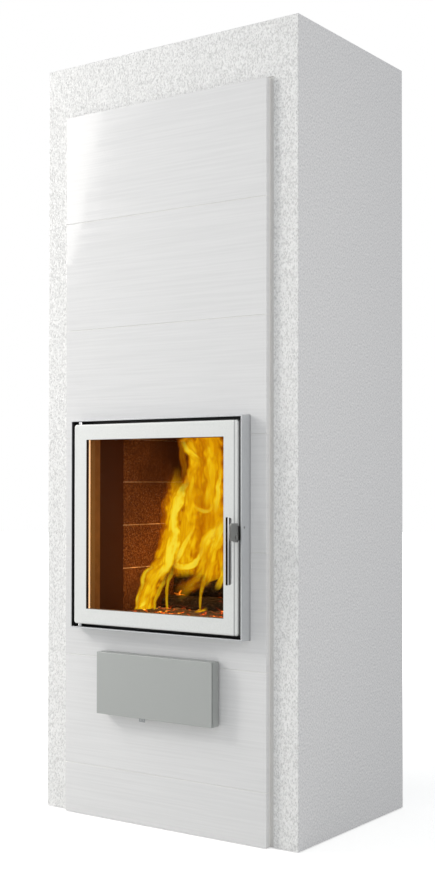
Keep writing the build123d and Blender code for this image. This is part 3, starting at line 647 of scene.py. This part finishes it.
def makeFireLamps(lamps):
    for number, lamp in enumerate(lamps):
        data = bpy.data.lights.new(f"fireLamp{number}", "POINT")
        data.energy = lamp["power"]
        data.color = linear(lamp["colour"])[:3]
        data.shadow_soft_size = lamp["radius"]
        holder = bpy.data.objects.new(data.name, data)
        holder.location = lamp["place"]
        holder.visible_glossy = False
        scene.collection.objects.link(holder)


def finishPiece(bm, name, material, body="stove"):
    bmesh.ops.remove_doubles(bm, verts=bm.verts, dist=1e-6)
    bmesh.ops.recalc_face_normals(bm, faces=bm.faces)
    piece = makeObject(bm, name, material)
    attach(piece, body)
    return piece


# Fibre rings: a braided section swept round the door, over the depth of the node it replaces.
# Square is 1 for an oval section and less for a squarer one; thread in millimetres, the rest in
# metres
ringLook = {
    "glass_tape": {
        "node": "glass_seal",
        "colours": [(0.3, "#F0E6D0"), (0.7, "#FFF6E4")],
        # glow: how strongly the yarn gives off painted firelight on the hinge side
        "glow": 0.52, "thread": 1.2,
        "width": 0.0106, "over": 0.0002, "corner": 0.006, "square": 0.45,
        "braid": 0.0002, "strands": 3, "pitch": 0.006, "step": 0.003,
    },
    "door_cord": {
        "node": "door_rope",
        "colours": [(0.3, "#A79C88"), (0.7, "#CFC5B2")],
        "glow": 0.0, "thread": 1.6,
        "width": 0.009, "over": 0.0, "corner": 0.010, "square": 0.85,
        "braid": 0.0007, "strands": 4, "pitch": 0.012, "step": 0.0022,
    },
}
sectionCorners = 14
# painted firelight on the tape: its colour, and where along X it fades in towards the hinge side
fibrePaintedFirelight = {"colour": "#FFD6AC", "from": -0.16, "to": paneLow.x + 0.012}


def wovenFibre(name, look):
    # twisted glass-fibre yarn: matt, pale, threads crossing at a slant and drawn six times as wide
    # as they are, to show; on the hinge side the yarn gives off a painted glow of firelight
    material, add, coords = startMaterial(name)
    leaning = add("Mapping", {"Vector": coords, "Rotation": (0.0, math.radians(45), 0.0)})
    threads = add("TexWave", {
        "Vector": leaning, "Scale": perMetre(look["thread"]) / 20, "Distortion": 0.6,
    }, bands_direction="Z").outputs["Fac"]
    fuzz = add("TexNoise", {"Vector": coords, "Scale": perMetre(2), "Detail": 3.0})
    relief = add("Math", (threads, 0.7, fuzz), operation="MULTIPLY_ADD")
    x = add("SeparateXYZ", (coords,)).outputs["X"]
    # painted firelight, full at the hinge side of the pane and none on the far side
    light = add("MapRange", (x, fibrePaintedFirelight["from"], fibrePaintedFirelight["to"], 0.0, look["glow"]))
    shader = add("BsdfPrincipled", {
        "Base Color": add("ValToRGB", (fuzz,), look["colours"]),
        "Roughness": 0.9,
        "Sheen Weight": 0.2,
        "Emission Color": linear(fibrePaintedFirelight["colour"]),
        "Emission Strength": light,
        "Normal": add("Bump", {"Height": relief, "Distance": 0.0004}),
    })
    add("OutputMaterial", {"Surface": shader})
    return material


def doorPath(halfX, halfZ, corner, step):
    # points of a rounded rectangle round the pane's centre, each with its outward direction
    sides = [
        (halfX, (1, 0), 2 * (halfZ - corner)),
        (halfZ, (0, 1), 2 * (halfX - corner)),
        (halfX, (-1, 0), 2 * (halfZ - corner)),
        (halfZ, (0, -1), 2 * (halfX - corner)),
    ]
    points = []
    for reach, (x, z), length in sides:
        outward = Vector((x, 0, z))
        forward = Vector((-outward.z, 0, outward.x))
        count = max(2, round(length / step))
        for index in range(count):
            run = -length / 2 + length * index / count
            points.append((outward * reach + forward * run, outward))
        centre = outward * (reach - corner) + forward * length / 2
        turns = max(2, round(corner * math.pi / 2 / step))
        for index in range(turns):
            angle = math.pi / 2 * index / turns
            lean = outward * math.cos(angle) + forward * math.sin(angle)
            points.append((centre + lean * corner, lean))
    return points


def makeRing(name, look):
    low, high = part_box(look["node"])
    reach = look["width"] / 2
    path = doorPath(high.x - reach, (high.z - low.z) / 2 - reach, look["corner"], look["step"])
    deep = (high.y - low.y) / 2 + look["over"]
    middleY = (high.y + low.y) / 2
    bm = bmesh.new()
    rings = []
    travelled = 0.0
    for index, (spot, outward) in enumerate(path):
        travelled += (spot - path[index - 1][0]).length if index else 0.0
        wave = math.tau * travelled / look["pitch"]
        ring = []
        for step in range(sectionCorners):
            angle = math.tau * step / sectionCorners
            wide, tall = math.cos(angle), math.sin(angle)
            wide = math.copysign(abs(wide) ** look["square"], wide)
            tall = math.copysign(abs(tall) ** look["square"], tall)
            twist = look["strands"] * angle
            strand = max(math.sin(wave + twist), math.sin(wave - twist))
            shrink = look["braid"] * (1 - strand) / 2
            place = spot + outward * wide * (reach - shrink)
            place = (place.x, middleY + tall * (deep - shrink), doorZ + place.z)
            ring.append(bm.verts.new(place))
        rings.append(ring)
    for first, second in zip(rings, rings[1:] + rings[:1]):
        for step in range(sectionCorners):
            following = (step + 1) % sectionCorners
            bm.faces.new((first[step], first[following], second[following], second[step]))
    piece = finishPiece(bm, name, wovenFibre(name, look), "door")
    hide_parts(look["node"])


# Ash bed: patterns in millimetres, the mesh's bumps per metre, its sizes in metres
bedLook = {
    "half": (0.212, 0.160), "centreY": -0.031, "steps": (76, 58),
    "height": (0.002, 0.015), "underside": 0.0003, "rim": 0.0006, "bumps": 38,
    "dust": 9, "heat": 26, "share": 0.47, "edge": 0.12, "strength": 2.2,
    "ash": [(0.30, "#291E18"), (0.50, "#4D4540"), (0.72, "#736D69")],
    "glow": [(0.0, "#1A0300"), (0.45, "#B02A00"), (0.75, "#FF6A10"), (1.0, "#FFC040")],
}


def emberMaterial(look):
    # wood ash over live coals: pale dust on top, orange where the heat breaks through
    material, add, coords = startMaterial("ashAndEmbers")
    dust = add("TexNoise", {
        "Vector": coords, "Scale": perMetre(look["dust"]), "Detail": 5.0, "Roughness": 0.7,
    })
    heat = add("TexNoise", {
        "Vector": coords, "Scale": perMetre(look["heat"]), "Detail": 4.0, "Roughness": 0.65,
    })
    share = look["share"]
    hot = add("MapRange", (heat, 1.0 - share, 1.0 + look["edge"] - share))
    power = add("Math", (hot, look["strength"]), operation="MULTIPLY")
    shader = add("BsdfPrincipled", {
        "Base Color": add("ValToRGB", (dust,), look["ash"]),
        "Roughness": 0.95,
        "Emission Color": add("ValToRGB", (hot,), look["glow"]),
        "Emission Strength": power,
        "Normal": add("Bump", {"Height": dust, "Distance": 0.002}),
    })
    add("OutputMaterial", {"Surface": shader})
    return material


def makeAshBed(look):
    low, high = look["height"]
    bm = bmesh.new()
    bmesh.ops.create_grid(bm, x_segments=look["steps"][0], y_segments=look["steps"][1], size=1)
    for vert in bm.verts:
        edge = 1 - max(abs(vert.co.x), abs(vert.co.y)) ** 4
        x = vert.co.x * look["half"][0]
        y = vert.co.y * look["half"][1] + look["centreY"]
        rough = 0.5 + 0.5 * noise.fractal(Vector((x, y, 0)) * look["bumps"], 0.6, 2.0, 4)
        rise = edge * (low + (high - low) * max(rough, 0))
        vert.co = Vector((x, y, hearthZ + look["rim"] + rise))
    lower = bmesh.ops.extrude_face_region(bm, geom=list(bm.faces))
    for item in lower["geom"]:
        if isinstance(item, bmesh.types.BMVert):
            item.co.z = hearthZ + look["underside"]
    bed = finishPiece(bm, "ash_bed", emberMaterial(look))


# Logs: patterns in millimetres, ranges in a texture's values; the mesh's bumps per metre and
# their depths in metres
logLook = {
    "segments": 40,
    "rings": 46,
    "char": [(0.34, "#060504"), (0.52, "#1B1613"), (0.66, "#3C342F")],
    "glow": [(0.0, "#180400"), (0.5, "#702000"), (0.85, "#D86010"), (1.0, "#FFA030")],
    "grain": 5,
    "crack": 24.0,
    "crackEdge": 0.11,
    "scaleEdge": 0.16,
    "patch": 45,
    "patchRange": (0.55, 0.68),
    "warmHeights": (hearthZ + 0.022, hearthZ + 0.004),
    "strength": 1.6,
    "lift": 0.0005,
    "inset": 0.35,
    "shrink": 0.0035,
    "ridges": {"along": 14, "across": 60, "depth": 0.0022},
    "lumps": {"along": 9, "across": 22, "depth": 0.004},
    "ends": {"size": 70, "share": 0.985, "depth": 0.012},
    "logs": [
        {"name": "log_front", "y": -0.049, "radius": 0.043, "cut": True, "seed": 3},
        {"name": "log_rear", "y": 0.049, "radius": 0.043, "cut": True, "seed": 11},
        {"name": "log_top", "y": 0.0, "radius": 0.036, "cut": False, "seed": 23},
    ],
}


def charredWood(look):
    # split birch, burning: black scaled char with heat in the cracks and grey ash on the crests
    material, add, coords = startMaterial("charredBirch")
    stretched = add("Mapping", {"Vector": coords, "Scale": (0.55, 1.0, 1.0)})
    scales = add("TexVoronoi", {
        "Vector": stretched, "Scale": perMetre(look["crack"]),
    }, feature="DISTANCE_TO_EDGE")
    fine = add("TexNoise", {
        "Vector": stretched, "Scale": perMetre(look["grain"]), "Detail": 5.0, "Roughness": 0.7,
    })
    z = add("SeparateXYZ", (coords,)).outputs["Z"]
    low = add("MapRange", (z, *look["warmHeights"]))
    patches = add("TexNoise", {"Vector": coords, "Scale": perMetre(look["patch"]), "Detail": 3.0})
    warm = add("MapRange", (patches, *look["patchRange"]))
    warm = add("Math", (warm, low), operation="MAXIMUM")
    crack = add("MapRange", (scales, look["crackEdge"], 0.0), interpolation_type="SMOOTHSTEP")
    heat = add("Math", (warm, crack), operation="MULTIPLY")
    power = add("Math", (heat, look["strength"]), operation="MULTIPLY")
    relief = add("MapRange", (scales, 0.0, look["scaleEdge"]))
    relief = add("Math", (fine, 0.5, relief), operation="MULTIPLY_ADD")
    shader = add("BsdfPrincipled", {
        "Base Color": add("ValToRGB", (fine,), look["char"]),
        "Roughness": 0.9,
        "Emission Color": add("ValToRGB", (heat,), look["glow"]),
        "Emission Strength": power,
        "Normal": add("Bump", {"Height": relief, "Distance": 0.002}),
    })
    add("OutputMaterial", {"Surface": shader})
    return material


def stretch(spot, size):
    return Vector((spot.x * size["along"], spot.y * size["across"], spot.z * size["across"]))


def makeLogs(look):
    material = charredWood(look)
    half = logHigh.x
    ridge, lump, end = look["ridges"], look["lumps"], look["ends"]
    for log in look["logs"]:
        radius = log["radius"]
        bm = bmesh.new()
        bmesh.ops.create_cone(
            bm, cap_ends=True, segments=look["segments"], radius1=radius, radius2=radius,
            depth=2 * half, matrix=Matrix.Rotation(math.radians(90), 4, "Y"),
        )
        lengthwise = [e for e in bm.edges if abs(e.verts[0].co.x - e.verts[1].co.x) > half]
        bmesh.ops.subdivide_edges(bm, edges=lengthwise, cuts=look["rings"], use_grid_fill=True)
        for cap in [f for f in bm.faces if abs(f.normal.x) > 0.9]:
            for _ in range(2):
                bmesh.ops.inset_individual(bm, faces=[cap], thickness=radius * look["inset"])
        middle = logLow.z if log["cut"] else logHigh.z - radius
        for vert in bm.verts:
            spot = vert.co + Vector((0, log["seed"], 0))
            around = Vector((0, vert.co.y, vert.co.z))
            ridges = ridge["depth"] * noise.fractal(stretch(spot, ridge), 0.7, 2.0, 4)
            lumps = lump["depth"] * noise.noise(stretch(spot, lump))
            if around.length > radius * 0.9:
                vert.co -= around.normalized() * (look["shrink"] + ridges + lumps)
            if abs(vert.co.x) > half * 0.999:
                vert.co.x *= end["share"] + end["depth"] * noise.noise(spot * end["size"])
        bmesh.ops.translate(bm, vec=(0, log["y"], middle), verts=bm.verts)
        if log["cut"]:
            flat = bmesh.ops.bisect_plane(
                bm, geom=bm.verts[:] + bm.edges[:] + bm.faces[:], clear_inner=True,
                plane_co=(0, 0, logLow.z + look["lift"]), plane_no=(0, 0, 1),
            )
            rim = [e for e in flat["geom_cut"] if isinstance(e, bmesh.types.BMEdge)]
            bmesh.ops.contextual_create(bm, geom=rim)
        piece = finishPiece(bm, log["name"], material)
        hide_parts("firewood")


# Flames: facing and jitter turn a ribbon, in degrees; bow is its bulge as a share of its width;
# warp and streak are sizes in millimetres
flameLook = {
    "seed": 7, "columns": 8, "rowsPerPoint": 5, "nudge": 0.05,
    "facing": 35.0, "jitter": 12.0, "bow": 0.22,
    "clearance": {"side": 0.004, "foot": 0.002, "top": 0.003},
    "warp": 26.0, "warpReach": 0.3, "fades": (0.85, 0.35),
    "streak": (13.0, 60.0), "patternShift": (0.61, 0.37),
    "shine": (0.48, 1.25), "edgeWarmth": 0.25, "gain": 1.8, "strength": 0.98,
    "stops": [
        (0.00, "#6A2A00"), (0.20, "#A65402"), (0.38, "#CC8802"),
        (0.56, "#E6B008"), (0.78, "#FAD81C"), (1.00, "#FFF44A"),
    ],
    # the hidden half of the fire, for other views: x = shift - share * x
    "echo": {"shift": 0.045, "share": 0.88, "lower": 0.94},
    "echoed": (
        "left aura", "far mass", "middle mass", "left column", "lower left", "bright stream",
        "outer tongue", "inner tongue", "low front tongue", "upper left sheet",
        "ember flame left",
    ),
}

# Ribbons of flame: name, warmth, veil, the parts of its length over which it fades in at the
# foot and out at the tip, and rows of x, y, z and width in millimetres
flameRibbons = [
    ("left aura", 0.34, 0.6, 0.15, 0.5, [
        (-236, 0, 620, 54), (-207, 3, 671, 71), (-195, 7, 717, 68), (-194, 10, 767, 63),
        (-193, 13, 813, 57), (-183, 17, 857, 46), (-172, 20, 906, 23),
    ]),
    ("upper aura", 0.34, 0.4, 0.35, 0.2, [
        (-148, 30, 843, 26), (-158, 33, 890, 29), (-169, 37, 937, 26), (-181, 40, 987, 23),
    ]),
    ("log haze", 0.36, 0.4, 0.4, 0.5, [
        (-87, -100, 561, 34), (-52, -100, 585, 54), (-9, -100, 599, 54), (33, -100, 595, 34),
    ]),
    ("far mass", 0.47, 1.0, 0.08, 0.02, [
        (-80, 20, 602, 123), (-82, 23, 670, 143), (-86, 26, 735, 148), (-90, 29, 801, 145),
        (-92, 31, 857, 137), (-92, 34, 913, 134), (-96, 37, 962, 148), (-103, 40, 994, 160),
    ]),
    ("right mass", 0.54, 1.0, 0.1, 0.02, [
        (-24, -10, 580, 57), (-27, -9, 625, 86), (-30, -8, 673, 94), (-31, -7, 721, 94),
        (-32, -6, 770, 91), (-31, -4, 818, 88), (-29, -3, 866, 86), (-32, -2, 915, 86),
        (-39, -1, 963, 91), (-46, 0, 989, 94),
    ]),
    ("middle mass", 0.64, 1.0, 0.12, 0.3, [
        (-92, -45, 603, 74), (-97, -44, 647, 103), (-96, -43, 695, 106), (-93, -42, 744, 103),
        (-87, -42, 789, 94), (-84, -41, 828, 77), (-89, -40, 857, 40),
    ]),
    ("left column", 0.6, 1.0, 0.12, 0.4, [
        (-167, -70, 620, 54), (-145, -64, 669, 80), (-132, -59, 711, 77), (-129, -53, 756, 71),
        (-131, -47, 795, 68), (-132, -41, 827, 60), (-131, -36, 860, 43), (-132, -30, 902, 20),
    ]),
    ("lower left", 0.66, 0.95, 0.05, 0.3, [
        (-175, -120, 513, 60), (-172, -114, 551, 63), (-162, -108, 587, 68), (-145, -102, 619, 68),
        (-123, -96, 648, 60), (-103, -90, 684, 40),
    ]),
    ("bright stream", 1.08, 0.85, 0.2, 0.3, [
        (-139, -110, 596, 17), (-126, -105, 617, 31), (-111, -100, 643, 46), (-102, -95, 674, 57),
        (-100, -90, 706, 51), (-104, -85, 738, 43), (-105, -80, 770, 34), (-99, -75, 799, 43),
        (-90, -70, 828, 37), (-81, -65, 853, 26), (-79, -60, 882, 9),
    ]),
    ("outer tongue", 0.92, 0.75, 0.05, 0.3, [
        (-195, -125, 514, 26), (-195, -119, 544, 23), (-190, -112, 579, 23), (-186, -106, 608, 27),
        (-169, -99, 624, 31), (-147, -93, 641, 37), (-124, -86, 661, 37), (-109, -80, 696, 26),
    ]),
    ("inner tongue", 1.02, 0.7, 0.06, 0.3, [
        (-154, -120, 519, 23), (-169, -115, 548, 19), (-176, -110, 576, 17), (-171, -105, 599, 21),
        (-151, -100, 619, 23), (-128, -95, 638, 22), (-117, -90, 661, 14),
    ]),
    ("low front tongue", 0.86, 0.55, 0.08, 0.5, [
        (-140, -120, 517, 10), (-144, -116, 540, 14), (-137, -112, 562, 19), (-127, -108, 583, 22),
        (-120, -104, 603, 20), (-113, -100, 626, 11),
    ]),
    ("thin tongue", 0.8, 0.5, 0.08, 0.5, [
        (-100, -120, 519, 9), (-107, -114, 548, 11), (-110, -108, 576, 13), (-109, -102, 600, 17),
        (-102, -96, 622, 20), (-93, -90, 646, 14),
    ]),
    ("crest", 1.12, 0.75, 0.3, 0.3, [
        (-119, -80, 644, 17), (-97, -77, 635, 31), (-76, -73, 633, 31), (-54, -70, 640, 27),
        (-39, -67, 655, 25), (-31, -63, 680, 23), (-26, -60, 710, 17),
    ]),
    ("fan", 1.08, 0.7, 0.25, 0.5, [
        (-112, -75, 641, 26), (-97, -71, 667, 31), (-81, -68, 693, 27), (-68, -64, 716, 20),
        (-55, -60, 738, 9),
    ]),
    ("log sweep", 0.8, 0.55, 0.35, 0.35, [
        (-79, -100, 542, 26), (-56, -94, 575, 37), (-32, -88, 602, 31), (-19, -81, 626, 29),
        (-15, -75, 657, 34), (-15, -69, 689, 40), (-5, -62, 716, 48), (12, -56, 735, 40),
        (33, -50, 752, 23),
    ]),
    ("right bright", 1.04, 0.7, 0.3, 0.4, [
        (-33, -50, 675, 26), (-28, -49, 697, 37), (-16, -48, 716, 46), (3, -46, 730, 37),
        (21, -45, 749, 23),
    ]),
    ("right stream", 0.92, 0.7, 0.25, 0.4, [
        (-14, -50, 637, 26), (-3, -48, 679, 40), (11, -45, 711, 40), (20, -43, 746, 31),
        (23, -40, 784, 20),
    ]),
    ("upper left sheet", 0.74, 0.7, 0.25, 0.2, [
        (-60, -30, 757, 48), (-79, -27, 798, 51), (-90, -24, 837, 46), (-93, -21, 866, 43),
        (-88, -19, 899, 48), (-90, -16, 925, 48), (-103, -13, 951, 43), (-117, -10, 984, 37),
    ]),
    ("upper right sheet", 0.74, 0.7, 0.25, 0.2, [
        (-42, -30, 763, 43), (-31, -27, 812, 54), (-28, -23, 857, 51), (-31, -20, 898, 51),
        (-37, -17, 931, 46), (-47, -13, 966, 48), (-55, -10, 989, 43),
    ]),
    ("right thin stream", 1.0, 0.7, 0.3, 0.4, [
        (2, -50, 771, 20), (8, -49, 809, 26), (10, -48, 841, 22), (15, -46, 869, 17),
        (22, -45, 898, 9),
    ]),
    ("top streak", 0.92, 0.65, 0.35, 0.5, [
        (-113, -40, 977, 23), (-101, -37, 950, 29), (-84, -35, 931, 26), (-62, -33, 916, 20),
        (-42, -30, 906, 10),
    ]),
    ("low arc", 0.92, 0.4, 0.4, 0.4, [
        (-77, -45, 808, 10), (-62, -45, 791, 19), (-38, -45, 780, 20), (-14, -45, 786, 19),
        (5, -45, 803, 11),
    ]),
    ("lick before the logs", 0.78, 0.5, 0.08, 0.4, [
        (11, -125, 525, 7), (4, -116, 554, 11), (2, -107, 578, 15), (2, -98, 599, 20),
        (3, -89, 627, 26), (8, -80, 658, 23),
    ]),
    ("right log tongue", 0.74, 0.7, 0.35, 0.4, [
        (1, -90, 583, 17), (4, -80, 609, 26), (6, -70, 637, 31), (13, -60, 670, 34),
        (19, -50, 711, 29),
    ]),
    ("low right tongue", 0.9, 0.7, 0.45, 0.4, [
        (46, -110, 579, 13), (52, -103, 591, 23), (56, -95, 608, 25), (56, -87, 632, 26),
        (50, -80, 666, 20),
    ]),
    ("ember flame left", 1.06, 0.85, 0.1, 0.5, [
        (-191, -130, 511, 31), (-180, -127, 524, 34), (-170, -123, 539, 29), (-164, -120, 562, 14),
    ]),
    ("ember flame right", 0.98, 0.7, 0.15, 0.4, [
        (-6, -130, 512, 14), (4, -127, 520, 23), (20, -123, 524, 20), (28, -120, 537, 9),
    ]),
]


def flameMaterial(look):
    # burning gas: soft yellow streaks that redden and thin out towards their edges
    material, add, _ = startMaterial("woodFlame")
    uv = add("UVMap", uv_map="along")
    across = add("SeparateXYZ", (uv,)).outputs["X"]
    metres = add("UVMap", uv_map="metres")
    hot = add("Attribute", attribute_name="warmth").outputs["Fac"]
    veil = add("Attribute", attribute_name="veil").outputs["Fac"]
    warp = add("TexNoise", {"Vector": metres, "Scale": perMetre(look["warp"]), "Detail": 1.0})
    reach = look["warpReach"]
    warp = add("MapRange", (warp, 0.0, 1.0, -reach, reach))
    bent = add("Math", (across, warp), operation="ADD")
    fades = []
    # the first fade wanders with the gas, the second keeps the sheet's own sides clear
    for spot, full in zip((bent, across), look["fades"]):
        side = add("Math", (spot, 2.0, -1.0), operation="MULTIPLY_ADD")
        side = add("Math", (side,), operation="ABSOLUTE")
        fades.append(add("MapRange", (side, 1.0, 1.0 - full), interpolation_type="SMOOTHSTEP"))
    body = add("Math", fades, operation="MULTIPLY")
    wide, long = look["streak"]
    streaks = add("Mapping", {"Vector": metres, "Scale": (perMetre(wide), perMetre(long), 1.0)})
    streaks = add("TexNoise", {"Vector": streaks, "Scale": 1.0, "Detail": 4.0, "Distortion": 1.3})
    shine = add("MapRange", (streaks, *noiseSpan, *look["shine"]))
    lit = add("Math", (body, shine), operation="MULTIPLY")
    warmth = add("MapRange", (lit, 0.0, 1.0, look["edgeWarmth"], 1.0), clamp=False)
    warmth = add("Math", (warmth, hot), operation="MULTIPLY")
    colour = add("ValToRGB", (warmth,), look["stops"])
    cover = add("Math", (lit, look["gain"]), operation="MULTIPLY", use_clamp=True)
    cover = add("Math", (cover, veil), operation="MULTIPLY")
    glow = add("Emission", {"Color": colour, "Strength": look["strength"]})
    clear = add("BsdfTransparent")
    add("OutputMaterial", {"Surface": add("MixShader", (cover, clear, glow))})
    return material


def onCurve(line, place):
    # a smooth curve through the line's rows, place counted in rows
    index = min(max(int(place), 0), len(line) - 2)
    t = place - index
    before, start = line[max(index - 1, 0)], line[index]
    end, after = line[index + 1], line[min(index + 2, len(line) - 1)]
    found = []
    for a, b, c, d in zip(before, start, end, after):
        square = 2 * a - 5 * b + 4 * c - d
        cube = 3 * b - a - 3 * c + d
        found.append(0.5 * (2 * b + (c - a) * t + square * t**2 + cube * t**3))
    return found


def easeIn(share):
    share = min(max(share, 0.0), 1.0)
    return share * share * (3 - 2 * share)


def addEchoes(ribbons, look):
    shift, share, lower = (look["echo"][key] for key in ("shift", "share", "lower"))
    echoes = []
    for name, *traits, line in ribbons:
        if name in look["echoed"]:
            line = [
                (shift - share * x, y, hearthZ + (z - hearthZ) * lower, wide)
                for x, y, z, wide in line
            ]
            echoes.append((name, *traits, line))
    return ribbons + echoes


def makeFlames(look):
    dice = random.Random(look["seed"])
    ribbons = [
        (*traits, [[value / 1000 for value in row] for row in rows])
        for *traits, rows in flameRibbons
    ]
    gap = look["clearance"]
    bm = bmesh.new()
    alongLayer = bm.loops.layers.uv.new("along")
    metresLayer = bm.loops.layers.uv.new("metres")
    warmthLayer = bm.verts.layers.float.new("warmth")
    veilLayer = bm.verts.layers.float.new("veil")
    for number, (_, warmth, veil, foot, tip, line) in enumerate(addEchoes(ribbons, look)):
        last = len(line) - 1
        length = sum((Vector(a[:3]) - Vector(b[:3])).length for a, b in zip(line, line[1:]))
        turn = math.radians(look["facing"] + dice.uniform(-1, 1) * look["jitter"])
        towards = Vector((math.sin(turn), -math.cos(turn), 0))
        made = bmesh.ops.create_grid(
            bm, x_segments=look["columns"], y_segments=look["rowsPerPoint"] * last, size=0.5
        )
        laid = {}
        for vert in made["verts"]:
            across, along = vert.co.x, vert.co.y + 0.5
            *spot, wide = onCurve(line, along * last)
            ahead = Vector(onCurve(line, along * last + look["nudge"])[:3])
            behind = Vector(onCurve(line, along * last - look["nudge"])[:3])
            right = (ahead - behind).cross(towards).normalized()
            bulge = wide * look["bow"] * (1 - 4 * across * across)
            vert.co = Vector(spot) + right * across * wide + towards * bulge
            vert.co.x = min(max(vert.co.x, -throatX + gap["side"]), throatX - gap["side"])
            vert.co.z = min(max(vert.co.z, hearthZ + gap["foot"]), ceilingZ - gap["top"])
            vert[warmthLayer] = warmth
            vert[veilLayer] = veil * (easeIn(along / foot) * easeIn((1 - along) / tip))
            shiftX, shiftY = (number * shift for shift in look["patternShift"])
            laid[vert] = (
                (across + 0.5, along),
                (across * wide + shiftX, along * length + shiftY),
            )
        for face in {face for vert in made["verts"] for face in vert.link_faces}:
            for loop in face.loops:
                loop[alongLayer].uv, loop[metresLayer].uv = laid[loop.vert]
    flames = makeObject(bm, "flames", flameMaterial(look))
    flames.visible_shadow = False
    flames.visible_diffuse = False
    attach(flames, "stove")


for ringName, ring in ringLook.items():
    makeRing(ringName, ring)
makeFireLamps(fireLamps)
makeAshBed(bedLook)
makeLogs(logLook)
makeFlames(flameLook)
print("fire laid")
